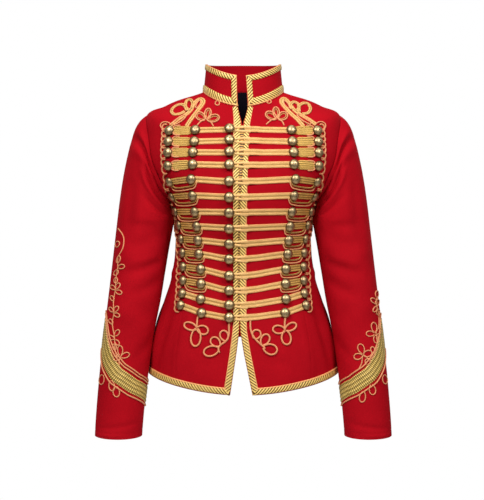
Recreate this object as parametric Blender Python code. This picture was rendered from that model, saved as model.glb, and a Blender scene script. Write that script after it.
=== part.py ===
"""A short scarlet napoleon jacket, worn and filled out, with no wearer in it.

Metres, +Z up. The front faces -Y and +X is the wearer's left. The origin is on the
centre line, level with the points where the shoulders meet the collar.
"""

from collections import namedtuple
from math import atan, cos, degrees, exp, pi, radians, sin, sqrt

import bmesh
import bpy
from mathutils import Vector
from mathutils.bvhtree import BVHTree

# Cloth and trimming sizes
CLOTH = 0.0018
LINING = 0.0010
SEAM = 0.0003
LAY = 0.0004
FOOT_REACH = 0.008
RAISE = 0.0001
RAISE_TRIES = 40
MITRE = 1.5
BRAID_HEIGHT = 0.0015
EDGE_BRAID = 0.012
COLLAR_BRAID = 0.011
CORD = 0.0026
BUTTON_RADIUS = 0.009
BUTTON_HEIGHT = 0.0068
BUTTON_SIDES = 7
SHANK_RADIUS = 0.0022
SHANK_HEIGHT = 0.0046
LOOP_REACH = 0.0044
LOOP_LIFT = 0.0031
BAR_WIDTH = 0.0130
WIDE_BAR_WIDTH = 0.0195
LOW_BAR_WIDTH = 0.0145

# How square the body's sections are: 2 is an ellipse
SQUARENESS = 2.3

# Rings of the body from the hem, level 0, up to the neckline, level 15
Ring = namedtuple("Ring", "z_front z_side z_back half_width front back")
RINGS = (
    Ring(-0.5794, -0.542, -0.478, 0.1840, 0.1220, 0.1190),
    Ring(-0.5250, -0.497, -0.450, 0.1790, 0.1190, 0.1130),
    Ring(-0.4680, -0.450, -0.420, 0.1680, 0.1120, 0.1060),
    Ring(-0.4150, -0.405, -0.385, 0.1545, 0.1040, 0.0970),
    Ring(-0.3650, -0.360, -0.348, 0.1405, 0.0980, 0.0880),
    Ring(-0.3150, -0.313, -0.309, 0.1335, 0.0980, 0.0830),
    Ring(-0.2700, -0.270, -0.270, 0.1320, 0.1070, 0.0870),
    Ring(-0.2320, -0.232, -0.232, 0.1345, 0.1180, 0.0950),
    Ring(-0.2000, -0.205, -0.200, 0.1430, 0.1225, 0.1020),
    Ring(-0.1650, -0.170, -0.165, 0.1700, 0.1195, 0.1060),
    Ring(-0.1300, -0.130, -0.128, 0.1900, 0.1120, 0.1050),
    Ring(-0.1000, -0.085, -0.092, 0.1930, 0.1010, 0.1010),
    Ring(-0.0770, -0.041, -0.052, 0.1870, 0.0905, 0.0930),
    Ring(-0.0600, -0.027, -0.027, 0.1500, 0.0830, 0.0850),
    Ring(-0.0460, -0.013, -0.008, 0.1130, 0.0765, 0.0765),
    Ring(-0.0300, 0.003, 0.010, 0.0775, 0.0700, 0.0680),
)
COLLAR_TOP = Ring(0.0316, 0.0577, 0.0602, 0.0720, 0.0660, 0.0600)
TOP_LEVEL = len(RINGS) - 1

# The armhole, in levels up the body and degrees round it
ARMHOLE_LEVEL = 9.93
ARMHOLE_HALF_HEIGHT = 2.07
ARMHOLE_HALF_ANGLE = 26.0
ARMHOLE_STEPS = 8

# The line where the two fronts meet, and half the gap between them, by height
Closing = namedtuple("Closing", "z middle half_gap")
CLOSING = (
    Closing(-0.5794, -0.0039, 0.0213),
    Closing(-0.5000, -0.0060, 0.0070),
    Closing(-0.4580, -0.0068, 0.0008),
    Closing(-0.4400, -0.0070, 0.00025),
    Closing(-0.3400, -0.0085, 0.00025),
    Closing(-0.1800, -0.0085, 0.00025),
    Closing(-0.1100, -0.0055, 0.00025),
    Closing(-0.0660, -0.0020, 0.00025),
    Closing(-0.0600, -0.0015, 0.0014),
    Closing(-0.0460, -0.0010, 0.0058),
    Closing(-0.0300, -0.0010, 0.0095),
    Closing(0.0316, -0.0038, 0.0083),
)

# The seam between each front and its side panel
Seam = namedtuple("Seam", "level angle")
PRINCESS = (Seam(0, 42.0), Seam(3, 45.0), Seam(6, 47.0), Seam(7, 49.0), Seam(8, 55.0),
            Seam(8.713, 61.0), Seam(9.29, 64.6))
PRINCESS_TOP = PRINCESS[-1].level
FRONT_COLUMNS = 7
SIDE_COLUMNS = 3
BACK_COLUMNS = 6
COLLAR_ROWS = 2
LINING_COLUMN = 2

# Rings of a sleeve from the upper arm down to the cuff
Cuff = namedtuple("Cuff", "z inner outer middle_y half_depth dip")
SLEEVE_RINGS = (
    Cuff(-0.250, 0.1375, 0.2460, 0.0000, 0.0580, 0.0000),
    Cuff(-0.300, 0.1460, 0.2515, -0.0040, 0.0560, 0.0000),
    Cuff(-0.350, 0.1545, 0.2570, -0.0100, 0.0540, 0.0005),
    Cuff(-0.400, 0.1630, 0.2625, -0.0180, 0.0510, 0.0010),
    Cuff(-0.450, 0.1705, 0.2680, -0.0270, 0.0480, 0.0020),
    Cuff(-0.500, 0.1775, 0.2735, -0.0360, 0.0455, 0.0030),
    Cuff(-0.550, 0.1840, 0.2780, -0.0440, 0.0430, 0.0040),
    Cuff(-0.600, 0.1895, 0.2820, -0.0500, 0.0410, 0.0050),
    Cuff(-0.640, 0.1930, 0.2845, -0.0540, 0.0400, 0.0060),
    Cuff(-0.665, 0.1945, 0.2855, -0.0560, 0.0400, 0.0060),
)
SLEEVE_CAP_ROWS = 6
SLEEVE_ARM_ROWS = 8
SLEEVE_RADIUS = 0.050
CAP_LENGTH = 0.2
ARM_STEP = 0.05

# Creases pressed into a sleeve: a soft line from one place to another
Crease = namedtuple("Crease", "angle_a v_a angle_b v_b depth width")
SLEEVE_CREASES = (
    Crease(55, -0.78, 120, -0.20, -0.0060, 0.016),
    Crease(20, -0.65, 75, -0.05, 0.0040, 0.020),
    Crease(70, 0.90, 150, 0.60, -0.0040, 0.014),
    Crease(60, 1.60, 160, 1.30, -0.0040, 0.015),
    Crease(300, 1.10, 215, 0.80, -0.0040, 0.015),
    Crease(40, 8.10, 140, 7.80, -0.0018, 0.008),
)

# Rows of frogging from the neck down, with each button's place
Frog = namedtuple("Frog", "z_centre x_middle z_middle x_outer z_outer")
FROGS = (
    Frog(-0.0745, 0.0916, -0.0756, 0.1413, -0.0757),
    Frog(-0.0964, 0.0931, -0.0977, 0.1425, -0.0970),
    Frog(-0.1192, 0.0955, -0.1184, 0.1433, -0.1179),
    Frog(-0.1434, 0.0959, -0.1414, 0.1431, -0.1431),
    Frog(-0.1745, 0.0985, -0.1695, 0.1405, -0.1735),
    Frog(-0.2040, 0.0955, -0.2005, 0.1351, -0.2014),
    Frog(-0.2323, 0.0914, -0.2310, 0.1284, -0.2300),
    Frog(-0.2621, 0.0877, -0.2588, 0.1222, -0.2565),
    Frog(-0.2915, 0.0857, -0.2853, 0.1181, -0.2830),
    Frog(-0.3211, 0.0839, -0.3115, 0.1155, -0.3094),
    Frog(-0.3531, 0.0805, -0.3405, 0.1145, -0.3365),
    Frog(-0.3816, 0.0800, -0.3685, 0.1145, -0.3629),
    Frog(-0.4091, 0.0805, -0.3978, 0.1160, -0.3875),
    Frog(-0.4329, 0.0790, -0.4241, 0.1190, -0.4101),
)
WIDE_ROWS = 4
LOOPED_ROWS = range(4, 12)
CENTRE_BUTTON_X = -0.0263
END_GAP = 0.0018
LAST_END_GAP = 0.0016

# The cuff's chevron: height of the band's middle by degrees from its point
Chevron = namedtuple("Chevron", "turn z")
CHEVRON = (Chevron(0, -0.446), Chevron(10, -0.463), Chevron(22.5, -0.486),
           Chevron(45, -0.515), Chevron(74, -0.541), Chevron(118, -0.564), Chevron(180, -0.584))
CHEVRON_STATIONS = 16
# A looped petal of cord: where it grows from, its size and its turn from upright
Petal = namedtuple("Petal", "x z length breadth turn")
CUFF_BAND = 0.030
CUFF_CORD = 0.0215

# Loops of the shoulder knots, by their middles
KNOT_BRAID = 0.0070
KNOT_CORD = 0.0036
KNOT_LOOPS = (
    Petal(0.0845, -0.0265, 0.0270, 0.0150, -0.59),
    Petal(0.1000, -0.0335, 0.0170, 0.0130, -0.50),
    Petal(0.1165, -0.0360, 0.0170, 0.0135, 0.30),
    Petal(0.1175, -0.0550, 0.0270, 0.0105, -1.02),
)

# Each cuff's climbing cord, and its loops by their middles: degrees and height
Spot = namedtuple("Spot", "turn z")
CUFF_STEM = (Spot(70, -0.5125), Spot(58, -0.4850), Spot(46, -0.4550), Spot(40, -0.4215),
             Spot(38, -0.3810), Spot(38, -0.3390), Spot(37, -0.3140))
CuffLoop = namedtuple("CuffLoop", "turn z length breadth")
CUFF_LOOPS = (
    CuffLoop(36, -0.2920, 0.0460, 0.0200),
    CuffLoop(46, -0.3390, 0.0160, 0.0130),
    CuffLoop(46, -0.3810, 0.0160, 0.0130),
    CuffLoop(48, -0.4215, 0.0160, 0.0130),
    CuffLoop(54, -0.4530, 0.0160, 0.0130),
    CuffLoop(66, -0.4800, 0.0160, 0.0130),
    CuffLoop(90, -0.5165, 0.0200, 0.0130),
)

# Sections of braid and cord: across, as a share of the half width, and height as a share
FLAT = ((-1.0, 0.0), (-0.90, 1.0), (0.90, 1.0), (1.0, 0.0))
BROAD = ((-1.0, 0.0), (-0.96, 1.0), (0.0, 1.0), (0.96, 1.0), (1.0, 0.0), (0.0, 0.0))
RIDGE = ((-1.0, 0.0), (0.0, 1.0), (1.0, 0.0))

Station = namedtuple("Station", "point normal half_width height lift")


def material(name, colour, roughness, metallic):
    made = bpy.data.materials.new(name)
    made.use_nodes = True
    shader = made.node_tree.nodes["Principled BSDF"]
    shader.inputs["Base Color"].default_value = (*colour, 1.0)
    shader.inputs["Roughness"].default_value = roughness
    shader.inputs["Metallic"].default_value = metallic
    made.diffuse_color = (*colour, 1.0)
    return made


def between(a, b, share):
    return a + (b - a) * share


def spline(rows, place):
    """The row of a table at a fractional place, on a smooth curve through its rows."""
    last = len(rows) - 1
    index = min(max(int(place), 0), last - 1)
    share = place - index
    before, start = rows[max(index - 1, 0)], rows[index]
    end, after = rows[index + 1], rows[min(index + 2, last)]
    values = []
    for a, b, c, d in zip(before, start, end, after):
        curve = (-a + c) * share + (2 * a - 5 * b + 4 * c - d) * share ** 2
        curve += (-a + 3 * b - 3 * c + d) * share ** 3
        values.append(b + 0.5 * curve)
    return type(start)(*values)


def look_up(rows, key):
    """The row of a table at a value of its first column, on straight lines."""
    if key <= rows[0][0]:
        return rows[0]
    for low, high in zip(rows, rows[1:]):
        if key <= high[0]:
            share = (key - low[0]) / (high[0] - low[0])
            return type(low)(*(between(a, b, share) for a, b in zip(low, high)))
    return rows[-1]


def ring_point(ring, angle):
    """A point of a body ring, by its turn in radians from the front towards +X."""
    across, along = sin(angle), cos(angle)
    reach = (abs(across) ** SQUARENESS + abs(along) ** SQUARENESS) ** (-1 / SQUARENESS)
    depth, z_end = (ring.front, ring.z_front) if along > 0 else (ring.back, ring.z_back)
    z = ring.z_side * across ** 2 + z_end * along ** 2
    return Vector((ring.half_width * across * reach, -depth * along * reach, z))


def body(angle, level):
    return ring_point(spline(RINGS, level), angle)


def collar(angle, share):
    low = ring_point(RINGS[-1], angle)
    return low.lerp(ring_point(COLLAR_TOP, angle), share)


def normal(surface, u, v):
    """The outward direction of a surface at one place."""
    step = 0.001
    along = surface(u + step, v) - surface(u - step, v)
    up = surface(u, v + step) - surface(u, v - step)
    return along.cross(up).normalized()


def place_on_body(x, z):
    """The turn and level of the place on the front that lies at x and z."""
    low, high = 0.0, float(TOP_LEVEL)
    for _ in range(40):
        level = (low + high) / 2
        share = min(abs(x) / spline(RINGS, level).half_width, 0.9995)
        ratio = share ** SQUARENESS / (1 - share ** SQUARENESS)
        angle = atan(ratio ** (1 / SQUARENESS)) * (1 if x > 0 else -1)
        if body(angle, level).z < z:
            low = level
        else:
            high = level
    return angle, level


def on_body(x, z):
    angle, level = place_on_body(x, z)
    return body(angle, level), normal(body, angle, level)


def edge_angle(ring, side, inset=0.0):
    """The turn of a front's edge on one ring, moved in from the edge by inset."""
    closing = look_up(CLOSING, ring.z_front)
    return atan((closing.middle + side * (closing.half_gap + inset)) / ring.half_width)


def armhole_angle(level):
    share = (level - ARMHOLE_LEVEL) / ARMHOLE_HALF_HEIGHT
    return ARMHOLE_HALF_ANGLE * sqrt(max(0.0, 1 - share ** 2))


UNDERARM = ARMHOLE_LEVEL - ARMHOLE_HALF_HEIGHT
SHOULDER_TIP = ARMHOLE_LEVEL + ARMHOLE_HALF_HEIGHT
ARMHOLE_LEVELS = [ARMHOLE_LEVEL - ARMHOLE_HALF_HEIGHT * cos(pi * k / ARMHOLE_STEPS)
                  for k in range(ARMHOLE_STEPS + 1)]
LEVELS = [float(k) for k in range(8)] + ARMHOLE_LEVELS + [13.0, 14.0, 15.0]


def seam_turn(angle, level):
    """Half a seam's gap as a turn, in degrees, at one place on the body."""
    step = 0.001
    reach = (body(radians(angle) + step, level) - body(radians(angle), level)).length / step
    return degrees(0.65 * SEAM / reach)


def front_edges(level, side):
    ring = spline(RINGS, level)
    start = degrees(edge_angle(ring, side))
    if level < PRINCESS_TOP + 0.01:
        end = look_up(PRINCESS, level).angle
    elif level < SHOULDER_TIP:
        end = 90 - armhole_angle(level)
    else:
        end = 90.0
    return start, side * (end - seam_turn(end, level))


def side_edges(level, side):
    start = look_up(PRINCESS, level).angle
    end = 90 - armhole_angle(level) if level > UNDERARM else 90.0
    return side * (start + seam_turn(start, level)), side * (end - seam_turn(end, level))


def back_edges(level, side):
    start = 90 + armhole_angle(level) if UNDERARM < level < SHOULDER_TIP else 90.0
    gap = seam_turn(start, level)
    return side * (start + gap), side * (180 - seam_turn(180, level))


def grid_on_body(edges, side, columns, levels):
    """Angles in radians and levels of a panel's points, row by row."""
    rows = []
    for level in levels:
        start, end = edges(level, side)
        rows.append([(radians(between(start, end, c / columns)), level)
                     for c in range(columns + 1)])
    return rows


def wall_points(surface, grid, out, thickness):
    """Outer and inner points of a wall that lies out from a surface."""
    outer = []
    inner = []
    for row in grid:
        outside = []
        inside = []
        for u, v in row:
            point = surface(u, v)
            direction = normal(surface, u, v)
            outside.append(point + direction * out)
            inside.append(point + direction * (out - thickness))
        outer.append(outside)
        inner.append(inside)
    return outer, inner


def new_object(name, points, faces, finish, helper=False):
    mesh = bpy.data.meshes.new(name)
    mesh.from_pydata([tuple(p) for p in points], [], faces)
    made = bmesh.new()
    made.from_mesh(mesh)
    bmesh.ops.recalc_face_normals(made, faces=made.faces)
    if made.calc_volume(signed=True) < 0:
        bmesh.ops.reverse_faces(made, faces=made.faces)
    made.to_mesh(mesh)
    made.free()
    mesh.materials.append(finish)
    thing = bpy.data.objects.new(name, mesh)
    (HELPERS if helper else JACKET).objects.link(thing)
    if helper:
        thing.hide_render = True
        thing.display_type = "WIRE"
    return thing


def quad(a, b, c, d):
    return [(a, b, c), (a, c, d)]


def wall(name, outer, inner, finish, closed=False):
    """A cloth wall between two grids of points, closed round when it is a tube."""
    rows, columns = len(outer), len(outer[0])
    points = [p for row in outer for p in row] + [p for row in inner for p in row]
    shift = rows * columns
    spans = columns if closed else columns - 1
    faces = []
    skin = []
    for r in range(rows - 1):
        for c in range(spans):
            a, b = r * columns + c, r * columns + (c + 1) % columns
            skin += quad(a, b, b + columns, a + columns)
    faces += skin + [tuple(i + shift for i in reversed(face)) for face in skin]
    for r in (0, rows - 1):
        for c in range(spans):
            a, b = r * columns + c, r * columns + (c + 1) % columns
            rim = quad(a, b, b + shift, a + shift)
            faces += rim if r else [face[::-1] for face in rim]
    if not closed:
        for c in (0, columns - 1):
            for r in range(rows - 1):
                a, b = r * columns + c, (r + 1) * columns + c
                rim = quad(a, b, b + shift, a + shift)
                faces += [face[::-1] for face in rim] if c else rim
    thing = new_object(name, points, faces, finish)
    return thing, (points[:shift], skin)


def joined_skin(skins):
    """One search tree for the outer faces of several walls."""
    points = []
    faces = []
    for some_points, some_faces in skins:
        shift = len(points)
        points += some_points
        faces += [tuple(i + shift for i in face) for face in some_faces]
    return BVHTree.FromPolygons(points, faces)


def laid_strip(stations, section, tree, closed):
    """Points and faces of a strip laid on a skin, raised until it clears the skin."""
    count = len(stations)
    directions = []
    for k in range(count):
        ahead = stations[(k + 1) % count].point if closed or k < count - 1 else None
        behind = stations[k - 1].point if closed or k > 0 else None
        here = stations[k].point
        steps = [(ahead - here).normalized()] if ahead else []
        steps += [(here - behind).normalized()] if behind else []
        way = sum(steps, Vector()).normalized()
        stretch = 1.0
        if len(steps) == 2:
            stretch = min(1 / max(way.dot(steps[0]), 0.4), MITRE)
        directions.append(stations[k].normal.cross(way).normalized() * stretch)
    feet = []
    for station, sideways in zip(stations, directions):
        row = []
        for across, _ in section:
            target = station.point + sideways * across * station.half_width
            spot, _, _, distance = tree.find_nearest(target)
            row.append(spot if distance < FOOT_REACH else target)
        feet.append(row)
    faces, owners = strip_faces(count, len(section), closed)
    lifts = [station.lift for station in stations]
    for _ in range(RAISE_TRIES):
        points = strip_points(stations, section, feet, [lift - SEAM for lift in lifts])
        touched = {owner for face, _ in BVHTree.FromPolygons(points, faces).overlap(tree)
                   for owner in owners[face]}
        if not touched:
            break
        lifts = [lift + (RAISE if k in touched else 0) for k, lift in enumerate(lifts)]
    return strip_points(stations, section, feet, lifts), faces


def strip_points(stations, section, feet, lifts):
    points = []
    for station, row, lift in zip(stations, feet, lifts):
        points += [foot + station.normal * (lift + rise * station.height)
                   for foot, (_, rise) in zip(row, section)]
    return points


def strip_faces(count, size, closed):
    """A strip's faces, and the stations that each one hangs between."""
    faces = []
    owners = []
    for k in range(count if closed else count - 1):
        n = (k + 1) % count
        a, b = k * size, n * size
        for s in range(size):
            t = (s + 1) % size
            faces += quad(a + s, a + t, b + t, b + s)
            owners += [(k, n)] * 2
    if not closed:
        last = (count - 1) * size
        faces += [(0, s, s + 1) for s in range(1, size - 1)]
        owners += [(0,)] * (size - 2)
        faces += [(last, last + s + 1, last + s) for s in range(1, size - 1)]
        owners += [(count - 1,)] * (size - 2)
    return faces, owners


def strip(name, stations, section, tree, finish, closed=False, helper=False):
    """A length of braid or cord laid along a line of stations."""
    points, faces = laid_strip(stations, section, tree, closed)
    return new_object(name, points, faces, finish, helper)


def fuse(base, extras):
    for extra in extras:
        union = base.modifiers.new(extra.name, "BOOLEAN")
        union.operation = "UNION"
        union.object = extra
    clean = base.modifiers.new("clean", "DECIMATE")
    clean.decimate_type = "DISSOLVE"
    clean.angle_limit = radians(2)


def line_on_body(places, width, height, lift=LAY):
    """Stations along a smooth line through places given by x and z on the front."""
    made = []
    for x, z in places:
        point, direction = on_body(x, z)
        made.append(Station(point, direction, width / 2, height, lift))
    return made


def smooth_line(places, steps):
    """More places on a smooth curve through a few."""
    spots = [Vector(p) for p in places]
    made = []
    for k in range(len(spots) - 1):
        before, start = spots[max(k - 1, 0)], spots[k]
        end, after = spots[k + 1], spots[min(k + 2, len(spots) - 1)]
        for s in range(steps):
            t = s / steps
            curve = (end - before) * t + (2 * before - 5 * start + 4 * end - after) * t ** 2
            curve += (3 * start - before - 3 * end + after) * t ** 3
            made.append(start + curve * 0.5)
    return made + [spots[-1]]


def oval(centre, length, breadth, turn, points=7):
    """Places round a small oval loop whose long axis is turned from upright."""
    x, z = centre
    made = []
    for k in range(points):
        along = cos(2 * pi * k / points) * length / 2
        across = sin(2 * pi * k / points) * breadth / 2
        made.append((x + along * sin(turn) + across * cos(turn),
                     z + along * cos(turn) - across * sin(turn)))
    return made


def seat_on(tree, point, direction):
    """The place on a skin under a point, and the way that a button there stands."""
    across = direction.cross(Vector((0, 0, 1))).normalized() * BUTTON_RADIUS * 0.8
    up = across.cross(direction).normalized() * BUTTON_RADIUS * 0.8
    left, right, low, high = (tree.find_nearest(point + step)[0]
                              for step in (-across, across, -up, up))
    way = (right - left).cross(high - low).normalized()
    if way.dot(direction) < 0:
        way = -way
    middle = (left + right + low + high) / 4
    spot = tree.find_nearest(point)[0]
    return (spot if (spot - middle).dot(way) > 0 else middle), way


def button(name, point, direction, base):
    """A ball-topped button whose flat back lies base above a point of the cloth."""
    twist = Vector((0, 0, 1)).rotation_difference(direction)
    points = []
    for radius, height in ((1.0, 0.0), (0.66, 0.80)):
        for k in range(BUTTON_SIDES):
            turn = 2 * pi * (k + 0.5) / BUTTON_SIDES
            flat = Vector((cos(turn), sin(turn), 0)) * radius * BUTTON_RADIUS
            flat.z = base + height * BUTTON_HEIGHT
            points.append(point + twist @ flat)
    n = BUTTON_SIDES
    faces = [tuple(reversed(range(n))), tuple(range(n, 2 * n))]
    faces += [(k, (k + 1) % n, (k + 1) % n + n, k + n) for k in range(n)]
    return new_object(name, points, faces, BRAID, helper=True)


def shank(name, point, direction, low, high):
    twist = Vector((0, 0, 1)).rotation_difference(direction)
    n = 6
    points = []
    for height in (low, high):
        for k in range(n):
            turn = 2 * pi * k / n
            ring = Vector((cos(turn), sin(turn), 0)) * SHANK_RADIUS
            ring.z = height
            points.append(point + twist @ ring)
    faces = [tuple(reversed(range(n))), tuple(range(n, 2 * n))]
    faces += [(k, (k + 1) % n, (k + 1) % n + n, k + n) for k in range(n)]
    return new_object(name, points, faces, BRAID, helper=True)


def make_body():
    """Fronts, side panels and backs; returns the skin that trimming lies on."""
    skins = []
    for side, hand in ((1, "left"), (-1, "right")):
        pieces = (
            ("front_" + hand, front_edges, FRONT_COLUMNS, LEVELS),
            ("side_" + hand, side_edges, SIDE_COLUMNS,
             [level for level in LEVELS if level < PRINCESS_TOP + 0.01]),
            ("back_" + hand, back_edges, BACK_COLUMNS, LEVELS),
        )
        for name, edges, columns, levels in pieces:
            grid = grid_on_body(edges, side, columns, levels)
            outer, inner = wall_points(body, grid, 0.0, CLOTH)
            skins.append(wall(name, outer, inner, SCARLET)[1])
    return joined_skin(skins)


def make_neck_lining():
    """The dark lining inside the back of the neck, which shows between the fronts."""
    grid = []
    for level in LEVELS[-6:]:
        left, right = (back_edges(level, side) for side in (1, -1))
        shares = [c / BACK_COLUMNS for c in range(LINING_COLUMN, BACK_COLUMNS)]
        row = [between(*left, share) for share in shares] + [180.0]
        row += [360 + between(*right, share) for share in reversed(shares)]
        top = min(level, TOP_LEVEL - 0.05)
        grid.append([(radians(angle), top) for angle in row])
    out = -CLOTH - LAY
    outer, inner = wall_points(body, grid, out, LINING)
    wall("neck_lining", outer, inner, BLACK)


def collar_turns():
    """The collar's columns, from the left front edge round the back to the right."""
    turns = []
    for side in (1, -1):
        start, end = front_edges(TOP_LEVEL, side)
        half = [between(start, side * 90, c / FRONT_COLUMNS) for c in range(FRONT_COLUMNS + 1)]
        half += [between(side * 90, side * 180, c / BACK_COLUMNS)
                 for c in range(1, BACK_COLUMNS + 1)]
        turns.append(half)
    left, right = turns
    return left + [360 + angle for angle in reversed(right[:-1])]


def collar_grid():
    turns = collar_turns()
    grid = []
    for r in range(COLLAR_ROWS + 1):
        share = r / COLLAR_ROWS
        z = between(RINGS[-1].z_front, COLLAR_TOP.z_front, share)
        closing = look_up(CLOSING, z)
        half_width = between(RINGS[-1].half_width, COLLAR_TOP.half_width, share)
        ends = [degrees(atan((closing.middle + side * closing.half_gap) / half_width))
                for side in (1, -1)]
        row = []
        for c, turn in enumerate(turns):
            fade = abs(1 - 2 * c / (len(turns) - 1)) ** 4
            target = ends[0] if c < len(turns) / 2 else 360 + ends[1]
            first = turns[0] if c < len(turns) / 2 else turns[-1]
            row.append((radians(turn + (target - first) * fade), share))
        grid.append(row)
    return grid


def make_collar():
    """The standing collar; returns its skin and the grid of its points."""
    grid = collar_grid()
    outer, inner = wall_points(collar, grid, 0.0, CLOTH)
    lift = Vector((0, 0, SEAM * 1.6))
    for c, (angle, _) in enumerate(grid[0]):
        direction = normal(body, angle, TOP_LEVEL - 0.002)
        outer[0][c] = body(angle, TOP_LEVEL) + lift
        inner[0][c] = outer[0][c] - direction * CLOTH
    _, skin = wall("collar", outer, inner, SCARLET)
    return joined_skin([skin]), grid


def collar_station(angle, share, width):
    return Station(collar(angle, share), normal(collar, angle, share), width / 2,
                   BRAID_HEIGHT, LAY)


def make_collar_braid(tree, grid):
    """One loop of braid along the collar's top, front edges and base."""
    height = 0.055
    inset = COLLAR_BRAID / 2 + 0.0006
    high, low = 1 - inset / height, (inset + 0.0010) / height
    first, last = grid[0][0][0], grid[0][-1][0]
    turn = inset / (RINGS[-1].half_width * 0.93)
    angles = [angle for angle, _ in grid[0][1:-1]]
    angles = [a for a in angles if first + turn * 1.9 < a < last - turn * 1.9]
    angles = [first + turn] + angles[::2] + [angles[-1]]
    angles += [last - turn]
    line = [collar_station(a, low, COLLAR_BRAID) for a in angles]
    line.append(collar_station(angles[-1], 0.5, COLLAR_BRAID))
    line += [collar_station(a, high, COLLAR_BRAID) for a in reversed(angles)]
    line.append(collar_station(angles[0], 0.5, COLLAR_BRAID))
    strip("collar_braid", line, FLAT, tree, BRAID, closed=True)


def hem_level(angle, distance):
    """The level that lies a distance up from the hem."""
    return distance / (body(angle, 0.2) - body(angle, 0.0)).length * 0.2


def body_station(angle, level, width, height=BRAID_HEIGHT, lift=LAY):
    return Station(body(angle, level), normal(body, angle, level), width / 2, height, lift)


def make_edge_braids(tree):
    """Braid down each front edge and along the hem, and round the back's hem."""
    inset = EDGE_BRAID / 2 + 0.0006
    corner_level = hem_level(0.1, inset)
    for side, hand in ((1, "left"), (-1, "right")):
        line = []
        for level in [TOP_LEVEL - 0.15] + LEVELS[-2:0:-1] + [corner_level]:
            ring = spline(RINGS, level)
            line.append(body_station(edge_angle(ring, side, inset), level, EDGE_BRAID))
        columns = [between(*front_edges(corner_level, side), c / FRONT_COLUMNS)
                   for c in range(1, FRONT_COLUMNS)]
        columns += [between(*side_edges(corner_level, side), c / SIDE_COLUMNS)
                    for c in range(SIDE_COLUMNS + 1)]
        for angle in columns:
            turn = radians(angle)
            line.append(body_station(turn, hem_level(turn, inset), EDGE_BRAID))
        strip("edge_braid_" + hand, line, FLAT, tree, BRAID)
    left, right = (back_edges(corner_level, side) for side in (1, -1))
    columns = [between(*left, c / BACK_COLUMNS) for c in range(BACK_COLUMNS)] + [180]
    columns += [360 + between(*right, c / BACK_COLUMNS) for c in range(BACK_COLUMNS - 1, -1, -1)]
    columns[0] += 0.4
    columns[-1] -= 0.4
    line = [body_station(radians(angle), hem_level(radians(angle), inset), EDGE_BRAID)
            for angle in columns]
    strip("hem_braid_back", line, FLAT, tree, BRAID)


def frog_places(frog, side, inner_x):
    """Places from a frog's inner end, past its middle button, to its outer end."""
    middle, outer = side * frog.x_middle, side * frog.x_outer
    inner = [(inner_x, frog.z_centre),
             (between(inner_x, middle, 0.28), between(frog.z_centre, frog.z_middle, 0.16)),
             (between(inner_x, middle, 0.64), between(frog.z_centre, frog.z_middle, 0.58)),
             (middle, frog.z_middle)]
    rest = [(between(middle, outer, share), between(frog.z_middle, frog.z_outer, share))
            for share in (0.5, 1.0)]
    return inner + rest + [(outer + side * 0.0045, frog.z_outer)]


def frog_bar(name, frog, row, side, tree):
    """The flat bar of one frog, wider beyond its middle button."""
    outer_width = WIDE_BAR_WIDTH if row < WIDE_ROWS else LOW_BAR_WIDTH
    closing = look_up(CLOSING, frog.z_centre)
    clear = END_GAP + (LAST_END_GAP if frog is FROGS[-1] else 0)
    inner_x = closing.middle + side * (closing.half_gap + EDGE_BRAID + clear)
    widths = [BAR_WIDTH * 0.92] + [BAR_WIDTH] * 3 + [outer_width] * 2 + [outer_width * 0.7]
    line = []
    for (x, z), width in zip(frog_places(frog, side, inner_x), widths):
        point, direction = on_body(x, z)
        line.append(Station(point, direction, width / 2, BRAID_HEIGHT, LAY))
    return strip(name, line, FLAT, tree, BRAID)


def fastening_loop(name, frog, tree):
    """The cord loop from a left bar, over the closing, round a shank on the right."""
    low = frog.z_centre
    start = look_up(CLOSING, low).middle + EDGE_BRAID + 0.0060
    climb = start - 0.0050
    places = [(start, low + LOOP_REACH), (climb, low + LOOP_REACH)]
    for k in range(4):
        turn = pi / 2 + pi * k / 3
        places.append((CENTRE_BUTTON_X + cos(turn) * LOOP_REACH, low + sin(turn) * LOOP_REACH))
    places += [(climb, low - LOOP_REACH), (start, low - LOOP_REACH)]
    lifts = [0.0014] + [LOOP_LIFT] * 6 + [0.0014]
    line = []
    for (x, z), lift in zip(places, lifts):
        point, direction = on_body(x, z)
        line.append(Station(point, direction, CORD / 2, CORD * 0.85, lift))
    return strip(name, line, RIDGE, tree, BRAID, helper=True)


def hanging_loop(name, frog, side, tree):
    """The thin cord that hangs in a shallow loop under the outer part of a bar."""
    start, end = side * (frog.x_middle + 0.0085), side * (frog.x_outer - 0.0070)
    line = []
    drop = 0.0135
    z_start, z_end = frog.z_middle - 0.0035, frog.z_outer - 0.0035
    for share, fall in ((0.0, 0.0), (0.12, 1.0), (0.88, 1.0), (1.0, 0.0)):
        point, direction = on_body(between(start, end, share),
                                   between(z_start, z_end, share) - drop * fall)
        line.append(Station(point, direction, CORD / 2, CORD * 0.8, LAY * 1.3))
    return strip(name, line, RIDGE, tree, BRAID, helper=True)


def make_frogs(tree):
    """Fourteen rows of frogging, each a left and a right half with its buttons."""
    seat = LAY + BRAID_HEIGHT - 0.0005
    for row, frog in enumerate(FROGS):
        for side, hand in ((1, "left"), (-1, "right")):
            name = "frog_%s_%02d" % (hand, row + 1)
            bar = frog_bar(name, frog, row, side, tree)
            extras = []
            for label, x, z in (("middle", frog.x_middle, frog.z_middle),
                                ("outer", frog.x_outer, frog.z_outer)):
                point, direction = seat_on(tree, *on_body(side * x, z))
                extras.append(button(name + "_" + label, point, direction, seat))
            if side < 0:
                point, direction = on_body(CENTRE_BUTTON_X, frog.z_centre)
                point = tree.find_nearest(point)[0]
                top = seat + SHANK_HEIGHT + 0.0006
                extras.append(shank(name + "_shank", point, direction, seat, top + 0.0005))
                extras.append(button(name + "_centre", point, direction, top))
            else:
                extras.append(fastening_loop(name + "_loop", frog, tree))
            if row in LOOPED_ROWS:
                extras.append(hanging_loop(name + "_hanging", frog, side, tree))
            fuse(bar, extras)


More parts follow.
